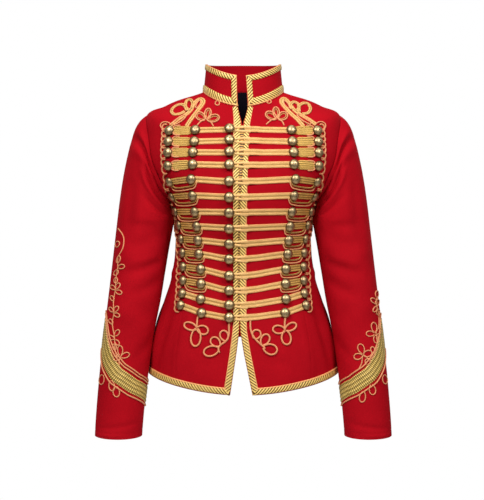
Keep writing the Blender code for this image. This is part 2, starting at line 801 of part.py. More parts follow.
def loop_on_body(name, tree, centre, length, breadth, turn, rank):
    places = oval(centre, length, breadth, turn)
    line = line_on_body(places, CORD, CORD * 0.85 + 0.0001 * rank, LAY + 0.00012 * rank)
    return strip(name, line, RIDGE, tree, BRAID, closed=True, helper=True)


def cord_on_body(name, tree, places, steps=2, helper=False):
    line = line_on_body(smooth_line(places, steps), CORD, CORD * 0.85)
    return strip(name, line, RIDGE, tree, BRAID, helper=helper)


def make_body_ornaments(tree):
    """Trefoils on the chest, hanging trefoils and scrolls on the skirt."""
    for side, hand in ((1, "left"), (-1, "right")):
        stem = [(0.0865, -0.0650), (0.0675, -0.0545), (0.0500, -0.0655)]
        petals = (Petal(0.0705, -0.0540, 0.0180, 0.0130, 1.25),
                  Petal(0.0675, -0.0525, 0.0220, 0.0105, 0.0),
                  Petal(0.0645, -0.0540, 0.0180, 0.0130, -1.25))
        ornament("chest_trefoil_" + hand, tree, side, stem, petals)
        stem = [(0.0800, -0.4345), (0.0865, -0.4450), (0.0880, -0.4600)]
        petals = (Petal(0.0895, -0.4545, 0.0190, 0.0120, 1.10),
                  Petal(0.0870, -0.4550, 0.0190, 0.0120, -1.40),
                  Petal(0.0880, -0.4585, 0.0240, 0.0120, 3.05))
        ornament("skirt_trefoil_" + hand, tree, side, stem, petals)
        start = 0.0131 if side > 0 else 0.0276
        stem = [(start, -0.4405), (start, -0.4588), (start + 0.0040, -0.4675),
                (start + 0.0165, -0.4800), (start + 0.0260, -0.4865)]
        petals = (Petal(start + 0.0040, -0.4675, 0.0155, 0.0140, 1.28),
                  Petal(start + 0.0165, -0.4800, 0.0155, 0.0135, 1.10),
                  Petal(start + 0.0250, -0.4860, 0.0210, 0.0120, 2.25))
        ornament("skirt_scroll_" + hand, tree, side, stem, petals)


def ornament(name, tree, side, stem, petals):
    """A cord with looped petals that grow from it."""
    base = cord_on_body(name, tree, [(side * x, z) for x, z in stem])
    extras = []
    for rank, petal in enumerate(petals, 1):
        reach = petal.length / 2 - CORD * 0.4
        centre = (side * (petal.x + sin(petal.turn) * reach), petal.z + cos(petal.turn) * reach)
        extras.append(loop_on_body("%s_loop_%d" % (name, rank), tree, centre, petal.length,
                                   petal.breadth, side * petal.turn, rank))
    fuse(base, extras)


def make_shoulder_knots(tree):
    """A knot of braid on each shoulder, two bands and four loops above the top bars."""
    for side, hand in ((1, "left"), (-1, "right")):
        name = "shoulder_knot_" + hand
        path = [(0.1120, -0.0625), (0.0935, -0.0455), (0.0870, -0.0340)]
        line = line_on_body([(side * x, z) for x, z in path], KNOT_BRAID, 0.0019)
        base = strip(name, line, FLAT, tree, BRAID)
        band = [(0.1365, -0.0605), (0.1235, -0.0512), (0.1040, -0.0375)]
        line = line_on_body([(side * x, z) for x, z in band], KNOT_BRAID, 0.0022, LAY * 1.5)
        extras = [strip(name + "_band", line, FLAT, tree, BRAID, helper=True)]
        for rank, loop in enumerate(KNOT_LOOPS, 2):
            places = oval((side * loop.x, loop.z), loop.length, loop.breadth, side * loop.turn)
            line = line_on_body(places, KNOT_CORD, 0.0020 + 0.0001 * rank, LAY * (1 + 0.3 * rank))
            extras.append(strip("%s_loop_%d" % (name, rank), line, RIDGE, tree, BRAID,
                                closed=True, helper=True))
        fuse(base, extras)


def sleeve_section(turn, v):
    """A point of the sleeve below its cap, turned from outwards towards the front."""
    ring = spline(SLEEVE_RINGS, v)
    middle = (ring.inner + ring.outer) / 2
    half = (ring.outer - ring.inner) / 2
    x = middle + half * cos(turn)
    y = ring.middle_y - ring.half_depth * sin(turn)
    return Vector((x, y, ring.z - ring.dip * sin(turn)))


def armhole_point(turn):
    """A point of the left armhole, turned from the shoulder tip towards the front."""
    level = ARMHOLE_LEVEL + ARMHOLE_HALF_HEIGHT * cos(turn)
    angle = radians(90 - ARMHOLE_HALF_ANGLE * sin(turn))
    return body(angle, level), normal(body, angle, min(level, TOP_LEVEL - 0.01))


def sleeve(turn, v):
    """A point of the left sleeve: v runs from -1 at the armhole, past 0, to the cuff."""
    if v >= 0:
        return sleeve_section(turn, v)
    share = v + 1
    start, _ = armhole_point(turn)
    end = sleeve_section(turn, 0.0)
    step = 0.02
    leave = (sleeve_section(turn, step) - end).normalized() * (end - start).length * 0.95
    top, front = cos(turn), sin(turn)
    way = Vector((0.85, 0, -0.53)) * max(top, 0) ** 2
    way += Vector((0.55, -0.30 * (1 if front > 0 else -1), -0.70)) * front ** 2
    way += Vector((0.22, 0, -1.0)) * max(-top, 0) ** 2
    reach = 0.13 * max(top, 0) ** 2 + 0.085 * front ** 2 + 0.035 * max(-top, 0) ** 2
    way = way.normalized() * reach
    a = 2 * share ** 3 - 3 * share ** 2 + 1
    b = share ** 3 - 2 * share ** 2 + share
    c = -2 * share ** 3 + 3 * share ** 2
    d = share ** 3 - share ** 2
    return start * a + way * b + end * c + leave * d


def flat_place(turn, v):
    """A place of the sleeve as metres round and down it."""
    return Vector((turn * SLEEVE_RADIUS, v * (CAP_LENGTH if v < 0 else ARM_STEP)))


def crease_depth(turn, v):
    """How far the creases move a sleeve's point out, or in where it is negative."""
    depth = 0.0
    here = flat_place(turn, v)
    for crease in SLEEVE_CREASES:
        start = flat_place(radians(crease.angle_a), crease.v_a)
        run = flat_place(radians(crease.angle_b), crease.v_b) - start
        share = min(max((here - start).dot(run) / run.length_squared, 0.0), 1.0)
        away = (here - start - run * share).length
        ends = sin(pi * min(max(share, 0.02), 0.98))
        depth += crease.depth * ends * exp(-(away / crease.width) ** 2)
    return depth


def sleeve_rows():
    rows = [-1 + k / SLEEVE_CAP_ROWS for k in range(SLEEVE_CAP_ROWS)]
    last = len(SLEEVE_RINGS) - 1
    return rows + [last * k / SLEEVE_ARM_ROWS for k in range(SLEEVE_ARM_ROWS + 1)]


def mirrored(points, side):
    return [[Vector((p.x * side, p.y, p.z)) for p in row] for row in points]


def make_sleeves():
    """Both sleeves; returns a skin for each hand."""
    columns = 2 * ARMHOLE_STEPS
    turns = [2 * pi * k / columns for k in range(columns)]
    heart = sum((armhole_point(turn)[0] for turn in turns), Vector()) / columns
    outer = []
    inner = []
    for v in sleeve_rows():
        outside = []
        inside = []
        for turn in turns:
            if v == -1:
                point, across = armhole_point(turn)
                point = point + (heart - point).normalized() * SEAM * 1.5
                share = min(max(0.5 + cos(turn), 0.0), 1.0)
                direction = normal(sleeve, turn, v).lerp(across, share).normalized()
            else:
                direction = normal(sleeve, turn, v)
                fade = min((v + 1) * 4, 1.0)
                point = sleeve(turn, v) + direction * crease_depth(turn, v) * fade
            outside.append(point)
            inside.append(point - direction * CLOTH)
        outer.append(outside)
        inner.append(inside)
    trees = {}
    for side, hand in ((1, "left"), (-1, "right")):
        _, skin = wall("sleeve_" + hand, mirrored(outer, side), mirrored(inner, side),
                       SCARLET, closed=True)
        trees[hand] = joined_skin([skin])
    return trees


def sleeve_place(turn, z):
    """The place down the sleeve, v, that lies at height z for a turn in degrees."""
    low, high = -0.5, len(SLEEVE_RINGS) - 1.0
    for _ in range(30):
        v = (low + high) / 2
        if sleeve(radians(turn), v).z > z:
            low = v
        else:
            high = v
    return v


def sleeve_station(turn, z, side, width, height, lift=LAY):
    v = sleeve_place(turn, z)
    point = sleeve(radians(turn), v)
    direction = normal(sleeve, radians(turn), v)
    if side < 0:
        point = Vector((-point.x, point.y, point.z))
        direction = Vector((-direction.x, direction.y, direction.z))
    return Station(point, direction, width / 2, height, lift)


def chevron_height(turn):
    away = abs((turn + 180) % 360 - 180)
    return look_up(CHEVRON, away).z


def chevron_beside(turn, rise):
    """Height of a line that keeps a distance, rise, above or below the chevron."""
    sign = 1 if rise > 0 else -1
    best = None
    for k in range(-20, 21):
        share = k / 20
        spot = chevron_height(turn + degrees(share * abs(rise) / SLEEVE_RADIUS))
        z = spot + rise * sqrt(1 - share ** 2)
        best = z if best is None else sign * max(sign * best, sign * z)
    return best


def chevron_line(side, rise, width, height, lift=LAY):
    """Stations round a cuff beside the chevron, raised up the arm by rise."""
    line = []
    for k in range(CHEVRON_STATIONS):
        turn = 360 * k / CHEVRON_STATIONS
        z = chevron_beside(turn, rise) if rise else chevron_height(turn)
        line.append(sleeve_station(turn, z, side, width, height, lift))
    return line


def make_cuffs(trees):
    """The cuff bands, the cords beside them and the knots that climb the arm."""
    for side, hand in ((1, "left"), (-1, "right")):
        tree = trees[hand]
        strip("cuff_band_" + hand, chevron_line(side, 0.0, CUFF_BAND, BRAID_HEIGHT), BROAD,
              tree, BRAID, closed=True)
        strip("cuff_low_cord_" + hand, chevron_line(side, -CUFF_CORD, CORD, CORD * 0.8), RIDGE,
              tree, BRAID, closed=True)
        name = "cuff_high_cord_" + hand
        base = strip(name, chevron_line(side, CUFF_CORD, CORD, CORD * 0.8), RIDGE, tree, BRAID,
                     closed=True)
        stations = [sleeve_station(turn, z, side, CORD, CORD * 0.9, LAY + 0.0001)
                    for turn, z in smooth_line(CUFF_STEM, 2)]
        extras = [strip(name + "_stem", stations, RIDGE, tree, BRAID, helper=True)]
        for rank, loop in enumerate(CUFF_LOOPS, 1):
            line = []
            for k in range(6):
                part = 2 * pi * k / 6
                spread = degrees(sin(part) * loop.breadth / 2 / SLEEVE_RADIUS)
                line.append(sleeve_station(loop.turn + spread,
                                           loop.z + cos(part) * loop.length / 2, side,
                                           CORD, CORD * 0.9 + 0.0001 * rank,
                                           LAY + 0.00012 * rank))
            extras.append(strip("%s_loop_%d" % (name, rank), line, RIDGE, tree, BRAID,
                                closed=True, helper=True))
        fuse(base, extras)


for thing in list(bpy.data.objects):
    bpy.data.objects.remove(thing, do_unlink=True)

JACKET = bpy.data.collections.new("napoleon_jacket")
HELPERS = bpy.data.collections.new("helpers")
bpy.context.scene.collection.children.link(JACKET)
bpy.context.scene.collection.children.link(HELPERS)

SCARLET = material("scarlet_drill", (0.55, 0.010, 0.022), 0.75, 0.0)
BLACK = material("black_lining", (0.010, 0.009, 0.011), 0.6, 0.0)
BRAID = material("gold_braid", (0.62, 0.33, 0.10), 0.55, 0.2)

body_skin = make_body()
make_neck_lining()
collar_skin, collar_places = make_collar()
make_collar_braid(collar_skin, collar_places)
make_edge_braids(body_skin)
make_frogs(body_skin)
make_body_ornaments(body_skin)
make_shoulder_knots(body_skin)
sleeve_skins = make_sleeves()
make_cuffs(sleeve_skins)
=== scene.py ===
"""The looks of a short scarlet napoleon jacket: cloth shells, braid, cord, knots and buttons.

Metres, +Z up. The front faces -Y and +X is the wearer's left. Places on the front are
given by x and z; the tables of form repeat those of the solids.
"""

from collections import namedtuple
from math import cos, pi, radians, sin, sqrt

import bpy
import numpy as np
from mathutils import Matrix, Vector


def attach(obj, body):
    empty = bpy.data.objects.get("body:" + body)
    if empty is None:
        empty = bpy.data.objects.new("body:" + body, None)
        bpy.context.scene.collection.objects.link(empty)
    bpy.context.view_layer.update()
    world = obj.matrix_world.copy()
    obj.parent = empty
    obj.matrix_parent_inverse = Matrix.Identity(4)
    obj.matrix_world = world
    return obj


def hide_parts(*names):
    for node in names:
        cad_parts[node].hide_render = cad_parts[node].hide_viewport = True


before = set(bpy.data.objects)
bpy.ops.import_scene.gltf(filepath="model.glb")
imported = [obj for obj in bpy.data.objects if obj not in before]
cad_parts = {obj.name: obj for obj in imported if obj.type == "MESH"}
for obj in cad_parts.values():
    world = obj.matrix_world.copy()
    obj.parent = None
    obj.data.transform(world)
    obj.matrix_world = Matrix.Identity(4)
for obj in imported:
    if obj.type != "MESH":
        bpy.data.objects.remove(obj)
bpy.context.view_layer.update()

HANDS = ((1, "left"), (-1, "right"))

# Cloth and trimming sizes
CLOTH = 0.0018
LINING = 0.0010
SEAM_GAP = 0.0001
SEAM_DIP = 0.0005
SEAM_REACH = 0.0018
BUTTON_RADIUS = 0.0100
BUTTON_SEAT = 0.0016
SHANK_HEIGHT = 0.0042
SHANK_RADIUS = 0.0022
CORD_RADIUS = 0.0014
CORD_SIDES = 8
TAPE_INSET = 0.0068
HEM_TAPE_HALF = 0.0063
TAPE_LIFT = 0.0003
FROG_LIFT = 0.0004
CORD_LIFT = 0.0002
LOW_CORD_LIFT = 0.0001
CROSSING_LIFT = 0.0019
SQUARENESS = 2.3


def numbers(text):
    return tuple(map(float, text.split()))


def table(kind, text):
    """A table's rows, one on each line, with the columns of their kind."""
    return tuple(kind(*numbers(line)) for line in text.strip().split("\n"))


def groups(read, text):
    """What stands under each name, read by one function; empty lines part the groups."""
    return {name: read(rest) for name, rest in
            (block.split("\n", 1) for block in text.strip().split("\n\n"))}


# Rings of the body from the hem, level 0, up to the neckline, level 15
Ring = namedtuple("Ring", "z_front z_side z_back half_width front back")
RINGS = table(Ring, """
-0.5794 -0.542 -0.478 0.184 0.122 0.119
-0.525 -0.497 -0.45 0.179 0.119 0.113
-0.468 -0.45 -0.42 0.168 0.112 0.106
-0.415 -0.405 -0.385 0.1545 0.104 0.097
-0.365 -0.36 -0.348 0.1405 0.098 0.088
-0.315 -0.313 -0.309 0.1335 0.098 0.083
-0.27 -0.27 -0.27 0.132 0.107 0.087
-0.232 -0.232 -0.232 0.1345 0.118 0.095
-0.2 -0.205 -0.2 0.143 0.1225 0.102
-0.165 -0.17 -0.165 0.17 0.1195 0.106
-0.13 -0.13 -0.128 0.19 0.112 0.105
-0.1 -0.085 -0.092 0.193 0.101 0.101
-0.077 -0.041 -0.052 0.187 0.0905 0.093
-0.06 -0.027 -0.027 0.15 0.083 0.085
-0.046 -0.013 -0.008 0.113 0.0765 0.0765
-0.03 0.003 0.01 0.0775 0.07 0.068
""")
COLLAR_TOP = Ring(0.0316, 0.0577, 0.0602, 0.0720, 0.0660, 0.0600)
TOP_LEVEL = len(RINGS) - 1
COLLAR_HEIGHT = 0.0585
COLLAR_RADIUS = 0.070
COLLAR_TAPE_INSET = 0.0058
COLLAR_TAPE_HALF = 0.0055
COLLAR_BASE_HALF = 0.0074
COLLAR_BASE_RISE = 0.0022
LINING_STANDOFF = 0.0022

# The armhole, in levels up the body and degrees round it
ARMHOLE_LEVEL = 9.93
ARMHOLE_HALF_HEIGHT = 2.07
ARMHOLE_HALF_ANGLE = 26.0
UNDERARM = ARMHOLE_LEVEL - ARMHOLE_HALF_HEIGHT
SHOULDER_TIP = ARMHOLE_LEVEL + ARMHOLE_HALF_HEIGHT

# The line where the two fronts meet, and half the gap between them, by height
Closing = namedtuple("Closing", "z middle half_gap")
CLOSING = table(Closing, """
-0.5794 -0.0039 0.0213
-0.5 -0.006 0.007
-0.458 -0.0068 0.0008
-0.44 -0.007 0.00025
-0.34 -0.0085 0.00025
-0.18 -0.0085 0.00025
-0.11 -0.0055 0.00025
-0.066 -0.002 0.00025
-0.06 -0.0015 0.0014
-0.046 -0.001 0.0058
-0.03 -0.001 0.0095
0.0316 -0.0038 0.0083
""")

# The tapes beside the closing: their outer and inner edges on each side, by height
Tape = namedtuple("Tape", "z right_outer right_inner left_inner left_outer")
TAPES = table(Tape, """
-0.5794 -0.0385 -0.0258 0.018 0.0307
-0.5 -0.0262 -0.0136 0.0016 0.0142
-0.458 -0.0207 -0.0082 -0.0054 0.0071
-0.445 -0.0195 -0.0076 -0.006 0.0066
-0.4 -0.019 -0.0102 -0.0072 0.0058
-0.3 -0.0191 -0.0102 -0.007 0.0058
-0.22 -0.0194 -0.0088 -0.0062 0.007
-0.175 -0.0198 -0.008 -0.0032 0.0078
-0.145 -0.02 -0.0068 -0.0014 0.0088
-0.11 -0.02 -0.0062 0.0006 0.0098
-0.075 -0.0196 -0.0052 0.001 0.0115
-0.06 -0.0188 -0.0042 0.0012 0.0135
-0.046 -0.0192 -0.0074 0.0052 0.016
-0.03 -0.0208 -0.0108 0.0088 0.0188
""")

# The seam between each front and its side panel
Seam = namedtuple("Seam", "level angle")
PRINCESS = (Seam(0, 42.0), Seam(3, 45.0), Seam(6, 47.0), Seam(7, 49.0), Seam(8, 55.0),
            Seam(8.713, 61.0), Seam(9.29, 64.6))
PRINCESS_TOP = PRINCESS[-1].level

# Rings of a sleeve from the upper arm down to the cuff
Cuff = namedtuple("Cuff", "z inner outer middle_y half_depth dip")
SLEEVE_RINGS = table(Cuff, """
-0.25 0.1352 0.246 0 0.058 0
-0.3 0.1443 0.2515 -0.004 0.056 0
-0.35 0.1523 0.257 -0.01 0.054 0.0005
-0.4 0.1602 0.2625 -0.018 0.051 0.001
-0.45 0.1698 0.268 -0.027 0.048 0.002
-0.5 0.1775 0.2735 -0.036 0.0455 0.003
-0.55 0.184 0.278 -0.044 0.043 0.004
-0.6 0.1895 0.282 -0.05 0.041 0.005
-0.64 0.193 0.2845 -0.054 0.04 0.006
-0.665 0.1945 0.2855 -0.056 0.04 0.006
""")
SLEEVE_END = len(SLEEVE_RINGS) - 1.32
SLEEVE_RADIUS = 0.050
CAP_LENGTH = 0.2
ARM_STEP = 0.05

# Sleeve folds: degrees from outwards towards the front, and places down the sleeve.
# Body folds: degrees round from the front, and heights.
Fold = namedtuple("Fold", "angle_a end_a angle_b end_b depth width")
SLEEVE_FOLDS = table(Fold, """
-30 -0.8 34 -0.8 0.0022 0.03
12 -0.675 126 -1.01 -0.008 0.0068
22 -0.59 116 -0.9 0.0036 0.009
26 -0.79 100 -0.985 0.003 0.009
100 -0.9 165 -0.86 -0.006 0.01
66 -0.8 146 -0.56 -0.0052 0.009
66 -0.64 142 -0.4 0.004 0.011
84 -0.4 140 -0.2 -0.004 0.011
54 -0.45 56 1 -0.003 0.012
78 -0.5 84 1.2 0.0022 0.013
178 -0.5 178 0.3 0.0008 0.026
56 0.1 132 0.42 -0.0034 0.014
62 0.95 150 0.5 -0.0034 0.013
40 0.8 82 1.7 0.0024 0.018
56 2.05 150 1.45 -0.0044 0.012
66 1.72 136 1.32 0.0028 0.01
74 2.9 160 2.15 -0.0038 0.013
44 2.95 100 3.85 0.003 0.018
88 3.05 142 3.85 -0.003 0.015
108 5.2 172 4.4 -0.0028 0.014
60 6.1 120 5.5 0.0016 0.016
300 1.1 215 0.8 -0.0044 0.015
320 2 225 1.7 -0.004 0.014
310 1.62 230 1.3 0.003 0.012
330 2.7 240 2.4 -0.0034 0.014
290 -0.5 240 0.1 -0.004 0.018
300 -0.6 250 -0.8 -0.004 0.012
325 3.4 250 3.1 0.003 0.016
30 8.05 150 7.7 -0.0018 0.007
20 8.5 110 8.4 0.0014 0.006
200 8.2 300 7.9 -0.0014 0.007
""")
BODY_FOLDS = table(Fold, """
60 -0.019 120 -0.018 0.0058 0.014
90 -0.195 90 -0.245 0.0014 0.03
90 -0.405 90 -0.48 0.0026 0.026
38 -0.425 43 -0.56 0.004 0.013
56 -0.4 64 -0.54 -0.0046 0.013
22 -0.47 28 -0.565 0.0028 0.016
30 -0.53 10 -0.5 -0.002 0.012
72 -0.43 80 -0.54 0.0036 0.014
60 -0.33 86 -0.318 -0.0034 0.009
58 -0.354 88 -0.346 0.0028 0.008
62 -0.292 88 -0.276 -0.0028 0.009
68 -0.255 88 -0.236 -0.0026 0.009
52 -0.12 62 -0.185 -0.0022 0.012
14 -0.345 34 -0.335 -0.0012 0.008
12 -0.285 36 -0.275 -0.001 0.008
120 -0.3 172 -0.32 -0.0044 0.012
112 -0.345 160 -0.352 0.0038 0.012
118 -0.262 165 -0.272 0.0034 0.011
108 -0.23 140 -0.205 -0.0038 0.012
112 -0.17 132 -0.08 -0.004 0.015
150 -0.38 156 -0.47 0.0048 0.02
112 -0.39 116 -0.49 0.0042 0.018
132 -0.4 134 -0.48 -0.0044 0.016
""")
BODY_RADIUS = 0.150

# Rows of frogging from the neck down, with each button's place
Frog = namedtuple("Frog", "z_centre x_middle z_middle x_outer z_outer")
FROGS = table(Frog, """
-0.0745 0.0916 -0.0756 0.1413 -0.0757
-0.0964 0.0931 -0.0977 0.1425 -0.097
-0.1192 0.0955 -0.1184 0.1433 -0.1179
-0.1434 0.0959 -0.1414 0.1431 -0.1431
-0.1745 0.0985 -0.1695 0.1405 -0.1735
-0.204 0.0955 -0.2005 0.1351 -0.2014
-0.2323 0.0914 -0.231 0.1284 -0.23
-0.2621 0.0877 -0.2588 0.1222 -0.2565
-0.2915 0.0857 -0.2853 0.1181 -0.283
-0.3211 0.0839 -0.3115 0.1155 -0.3094
-0.3531 0.0805 -0.3405 0.1145 -0.3365
-0.3816 0.08 -0.3685 0.1145 -0.3629
-0.4091 0.0805 -0.3978 0.116 -0.3875
-0.4329 0.079 -0.4241 0.119 -0.4101
""")
WIDE_ROWS = 4
LOOPED_ROWS = range(4, 12)
CENTRE_BUTTON_X = -0.0263
BAR_HALF = 0.0063
WIDE_HALF = 0.0091
LOW_HALF = 0.0066
LOOP_REACH = 0.0040
LOOP_HALF_HEIGHT = 0.0037
BAND_END_HALF = 0.0056
PICOT_RADIUS = 0.0017
PICOT_RISE = 0.0040
PICOT_REACH = 0.0042
FINE_RADIUS = 0.0013

# A piece's finishes after its first: frogging has all of these
SECOND, METAL, PEACH, BRIGHT = range(1, 5)

# The cuff's chevron: height of the band's middle by degrees from its point
Chevron = namedtuple("Chevron", "turn z")
CHEVRON = (Chevron(0, -0.446), Chevron(10, -0.463), Chevron(22.5, -0.486),
           Chevron(45, -0.515), Chevron(74, -0.541), Chevron(118, -0.564), Chevron(180, -0.584))
CUFF_BAND = 0.030
CUFF_CORD_RISE = 0.0195
SECOND_CORD_RISE = 0.0245

# Looped petals of cord: where each grows from, its size and its turn from upright
Petal = namedtuple("Petal", "x z length breadth turn")
PETALS = groups(lambda rest: table(Petal, rest), """
chest_right
0.0725 -0.0555 0.0215 0.0145 0.95
0.07 -0.0555 0.0225 0.0115 -0.18
0.069 -0.056 0.0235 0.0135 -1.33

chest_left
0.066 -0.054 0.0205 0.0145 1.02
0.0645 -0.054 0.0235 0.0115 -0.13
0.0635 -0.054 0.0235 0.014 -1.05

skirt_right
0.0878 -0.4538 0.024 0.013 1.25
0.0878 -0.453 0.022 0.015 -1.85
0.0878 -0.453 0.034 0.0175 3.05

skirt_left
0.0791 -0.456 0.0228 0.0125 1.1
0.0791 -0.457 0.0235 0.014 -1.44
0.0791 -0.457 0.027 0.0165 3.02

scroll_right
0.0328 -0.4765 0.02 0.0145 0.33
0.0446 -0.4856 0.0205 0.015 0.85
0.0461 -0.4907 0.029 0.0165 1.9

scroll_left
0.0222 -0.4727 0.0175 0.015 0.3
0.0355 -0.4841 0.022 0.015 0.5
0.0374 -0.4879 0.027 0.0175 1.87

collar_right
0.0485 -0.0178 0.009 0.008 2.9

collar_left
0.0497 -0.015 0.008 0.008 3.3

shoulder_right
0.135 -0.065 0.031 0.008 -0.95
0.0905 -0.0325 0.017 0.0062 -0.48
0.137 -0.067 0.0215 0.013 1.45

shoulder_left
0.13 -0.064 0.033 0.008 -0.95
0.088 -0.033 0.018 0.0062 -0.6
0.137 -0.0665 0.0205 0.014 1.5

cuff_high_right
0.244 -0.299 0.012 0.0085 -0.25
0.242 -0.33 0.015 0.007 -0.35
0.24 -0.338 0.013 0.0075 -1.3
0.241 -0.342 0.013 0.007 2.6
0.244 -0.357 0.011 0.0065 3
0.2445 -0.379 0.013 0.007 -0.6
0.245 -0.383 0.013 0.0075 -1.9
0.2455 -0.38 0.012 0.007 1
0.248 -0.402 0.011 0.0065 0.6
0.2465 -0.423 0.013 0.007 -0.7
0.247 -0.427 0.012 0.007 -1.9
0.2475 -0.423 0.012 0.0065 0.9
0.25 -0.446 0.011 0.0065 0.7
0.2455 -0.469 0.014 0.0075 -0.6
0.2465 -0.474 0.013 0.0075 1.3
0.245 -0.476 0.012 0.007 -2.5
0.244 -0.496 0.012 0.007 0.3
0.2345 -0.506 0.019 0.009 0.05
0.2335 -0.509 0.017 0.009 -1.15
0.2355 -0.51 0.013 0.008 1.75

cuff_high_left
0.257 -0.396 0.013 0.0075 0.1
0.256 -0.407 0.015 0.008 -0.9
0.256 -0.412 0.013 0.0075 0.2
0.257 -0.413 0.013 0.007 -2.4
0.2585 -0.43 0.012 0.007 0.05
0.252 -0.462 0.019 0.01 -0.2
0.251 -0.465 0.016 0.0095 -1.5
0.253 -0.465 0.015 0.0085 0.95
0.2515 -0.468 0.015 0.0085 2.9
0.2585 -0.476 0.011 0.0065 0.05
0.249 -0.501 0.012 0.007 -0.3
0.2285 -0.502 0.019 0.011 -0.35
0.229 -0.505 0.017 0.011 1.25
0.2275 -0.506 0.016 0.0105 -1.75
0.2365 -0.523 0.011 0.009 0.1

cuff_low_right
0.269 -0.543 0.019 0.01 2.95
0.252 -0.553 0.02 0.0105 -3
0.243 -0.564 0.02 0.0115 -3.05

cuff_low_left
0.269 -0.543 0.018 0.0095 2.95
0.244 -0.561 0.019 0.0115 2.95
0.229 -0.574 0.02 0.0105 3.3
""")

# Lines of cord and braid by x and z: commas between places, semicolons between lines
STEMS = groups(lambda rest: [[numbers(place) for place in line.split(",")]
                             for line in rest.split(";")], """
chest_right
0.07 -0.053, 0.0761 -0.0558, 0.083 -0.0605, 0.0889 -0.068; 0.0715 -0.053, 0.0667 -0.0579,
0.061 -0.0615, 0.0566 -0.069

chest_left
0.064 -0.052, 0.0703 -0.0558, 0.075 -0.06, 0.078 -0.067; 0.0665 -0.0515, 0.0606 -0.0537,
0.052 -0.0575, 0.0432 -0.065

skirt_right
0.08 -0.426, 0.085 -0.43, 0.0874 -0.44, 0.0878 -0.454

skirt_left
0.0792 -0.426, 0.0791 -0.435, 0.0782 -0.445, 0.0785 -0.458

scroll_right
0.0271 -0.4405, 0.0271 -0.456, 0.0275 -0.466, 0.033 -0.4765, 0.0446 -0.4856, 0.047 -0.492,
0.0447 -0.499

scroll_left
0.0131 -0.4354, 0.0142 -0.4557, 0.0205 -0.47, 0.0325 -0.4825, 0.0402 -0.4895, 0.0365 -0.4925

shoulder_right
0.1085 -0.068, 0.099 -0.0527, 0.0894 -0.0393, 0.0799 -0.0269, 0.0764 -0.0183, 0.0812 -0.0135,
0.0885 -0.016, 0.095 -0.024, 0.0994 -0.0336, 0.1057 -0.0412, 0.1162 -0.0489, 0.1277 -0.0565,
0.1391 -0.0661; 0.099 -0.033, 0.097 -0.0225, 0.1008 -0.0165, 0.1082 -0.019, 0.1112 -0.0265,
0.108 -0.0335, 0.1019 -0.0365; 0.1076 -0.0374, 0.1133 -0.0265, 0.1229 -0.0255, 0.134 -0.0305,
0.138 -0.0378, 0.1328 -0.044, 0.1219 -0.0432, 0.1124 -0.0384

shoulder_left
0.115 -0.068, 0.1036 -0.0546, 0.0912 -0.0431, 0.0816 -0.0326, 0.0743 -0.0227, 0.0732 -0.0158,
0.0787 -0.0128, 0.0854 -0.0179, 0.0912 -0.0269, 0.0988 -0.0365, 0.1103 -0.0451, 0.1246 -0.0537,
0.1385 -0.0636; 0.0931 -0.0346, 0.0905 -0.0255, 0.0965 -0.02, 0.1048 -0.0236, 0.1065 -0.0317,
0.1011 -0.038; 0.1074 -0.0394, 0.1068 -0.0282, 0.1141 -0.023, 0.1245 -0.0247, 0.129 -0.0332,
0.1232 -0.0418, 0.1131 -0.0434

cuff_right
0.2425 -0.2615, 0.2393 -0.265, 0.233 -0.274, 0.2299 -0.285, 0.2303 -0.299, 0.235 -0.31,
0.2405 -0.318; 0.2405 -0.318, 0.2412 -0.34, 0.2445 -0.357, 0.2452 -0.38, 0.2482 -0.401,
0.247 -0.425, 0.2505 -0.445, 0.2462 -0.472, 0.2445 -0.496, 0.24 -0.512; 0.234 -0.507,
0.2372 -0.518, 0.2355 -0.524

cuff_left
0.2572 -0.395, 0.256 -0.412, 0.26 -0.429, 0.26 -0.45, 0.254 -0.464, 0.256 -0.483, 0.251 -0.502,
0.242 -0.513, 0.229 -0.505, 0.226 -0.52, 0.22 -0.533
""")

# The three bands of each shoulder knot: half width and lift
SHOULDER_BANDS = ((0.0042, 0.0004), (0.0031, 0.0012), (0.0031, 0.0009))

# A hanging loop: share of the way between its ends, and fall below them
LOOP_FALLS = ((0.0, 0.0), (0.02, 0.0050), (0.12, 0.0125), (0.50, 0.0145), (0.84, 0.0130),
              (0.97, 0.0070), (1.0, 0.0))

# A strand that turns back: its places from the outer button
CURL = ((-0.0215, 0.0092), (-0.0125, 0.0088), (-0.0078, 0.0058), (-0.0105, 0.0022))

# A button's section: reach from its axis and rise, as shares of its radius
DOME = ((0.05, 0.0), (0.80, 0.0), (0.97, 0.06), (1.0, 0.16), (0.98, 0.27), (0.92, 0.42),
        (0.82, 0.57), (0.68, 0.71), (0.50, 0.82), (0.30, 0.89), (0.10, 0.92))
DOME_HEIGHT = 0.82

# Sections of braid and cord: across as a share of the half width, and height in metres
Point = namedtuple("Point", "across height")
DOUBLE = (Point(-1.0, -0.0004), Point(-0.98, 0.0010), Point(-0.84, 0.0017), Point(-0.55, 0.0019),
          Point(-0.25, 0.0016), Point(-0.08, 0.0008), Point(0.08, 0.0008), Point(0.25, 0.0016),
          Point(0.55, 0.0019), Point(0.84, 0.0017), Point(0.98, 0.0010), Point(1.0, -0.0004))
TWIST = (Point(-1.0, -0.0004), Point(-0.96, 0.0012), Point(-0.78, 0.0019), Point(-0.62, 0.0014),
         Point(-0.50, 0.0016), Point(0.0, 0.0021), Point(0.60, 0.0018), Point(0.90, 0.0012),
         Point(1.0, -0.0004))


def strands(count, height):
    """A section of several rounded strands side by side."""
    made = [Point(-1.0, -0.0004)]
    for k in range(count):
        left = -1 + 2 * k / count
        for share, rise in ((0.06, 0.55), (0.28, 0.95), (0.5, 1.0), (0.72, 0.95), (0.94, 0.55)):
            made.append(Point(left + share * 2 / count, height * rise))
    return tuple(made + [Point(1.0, -0.0004)])


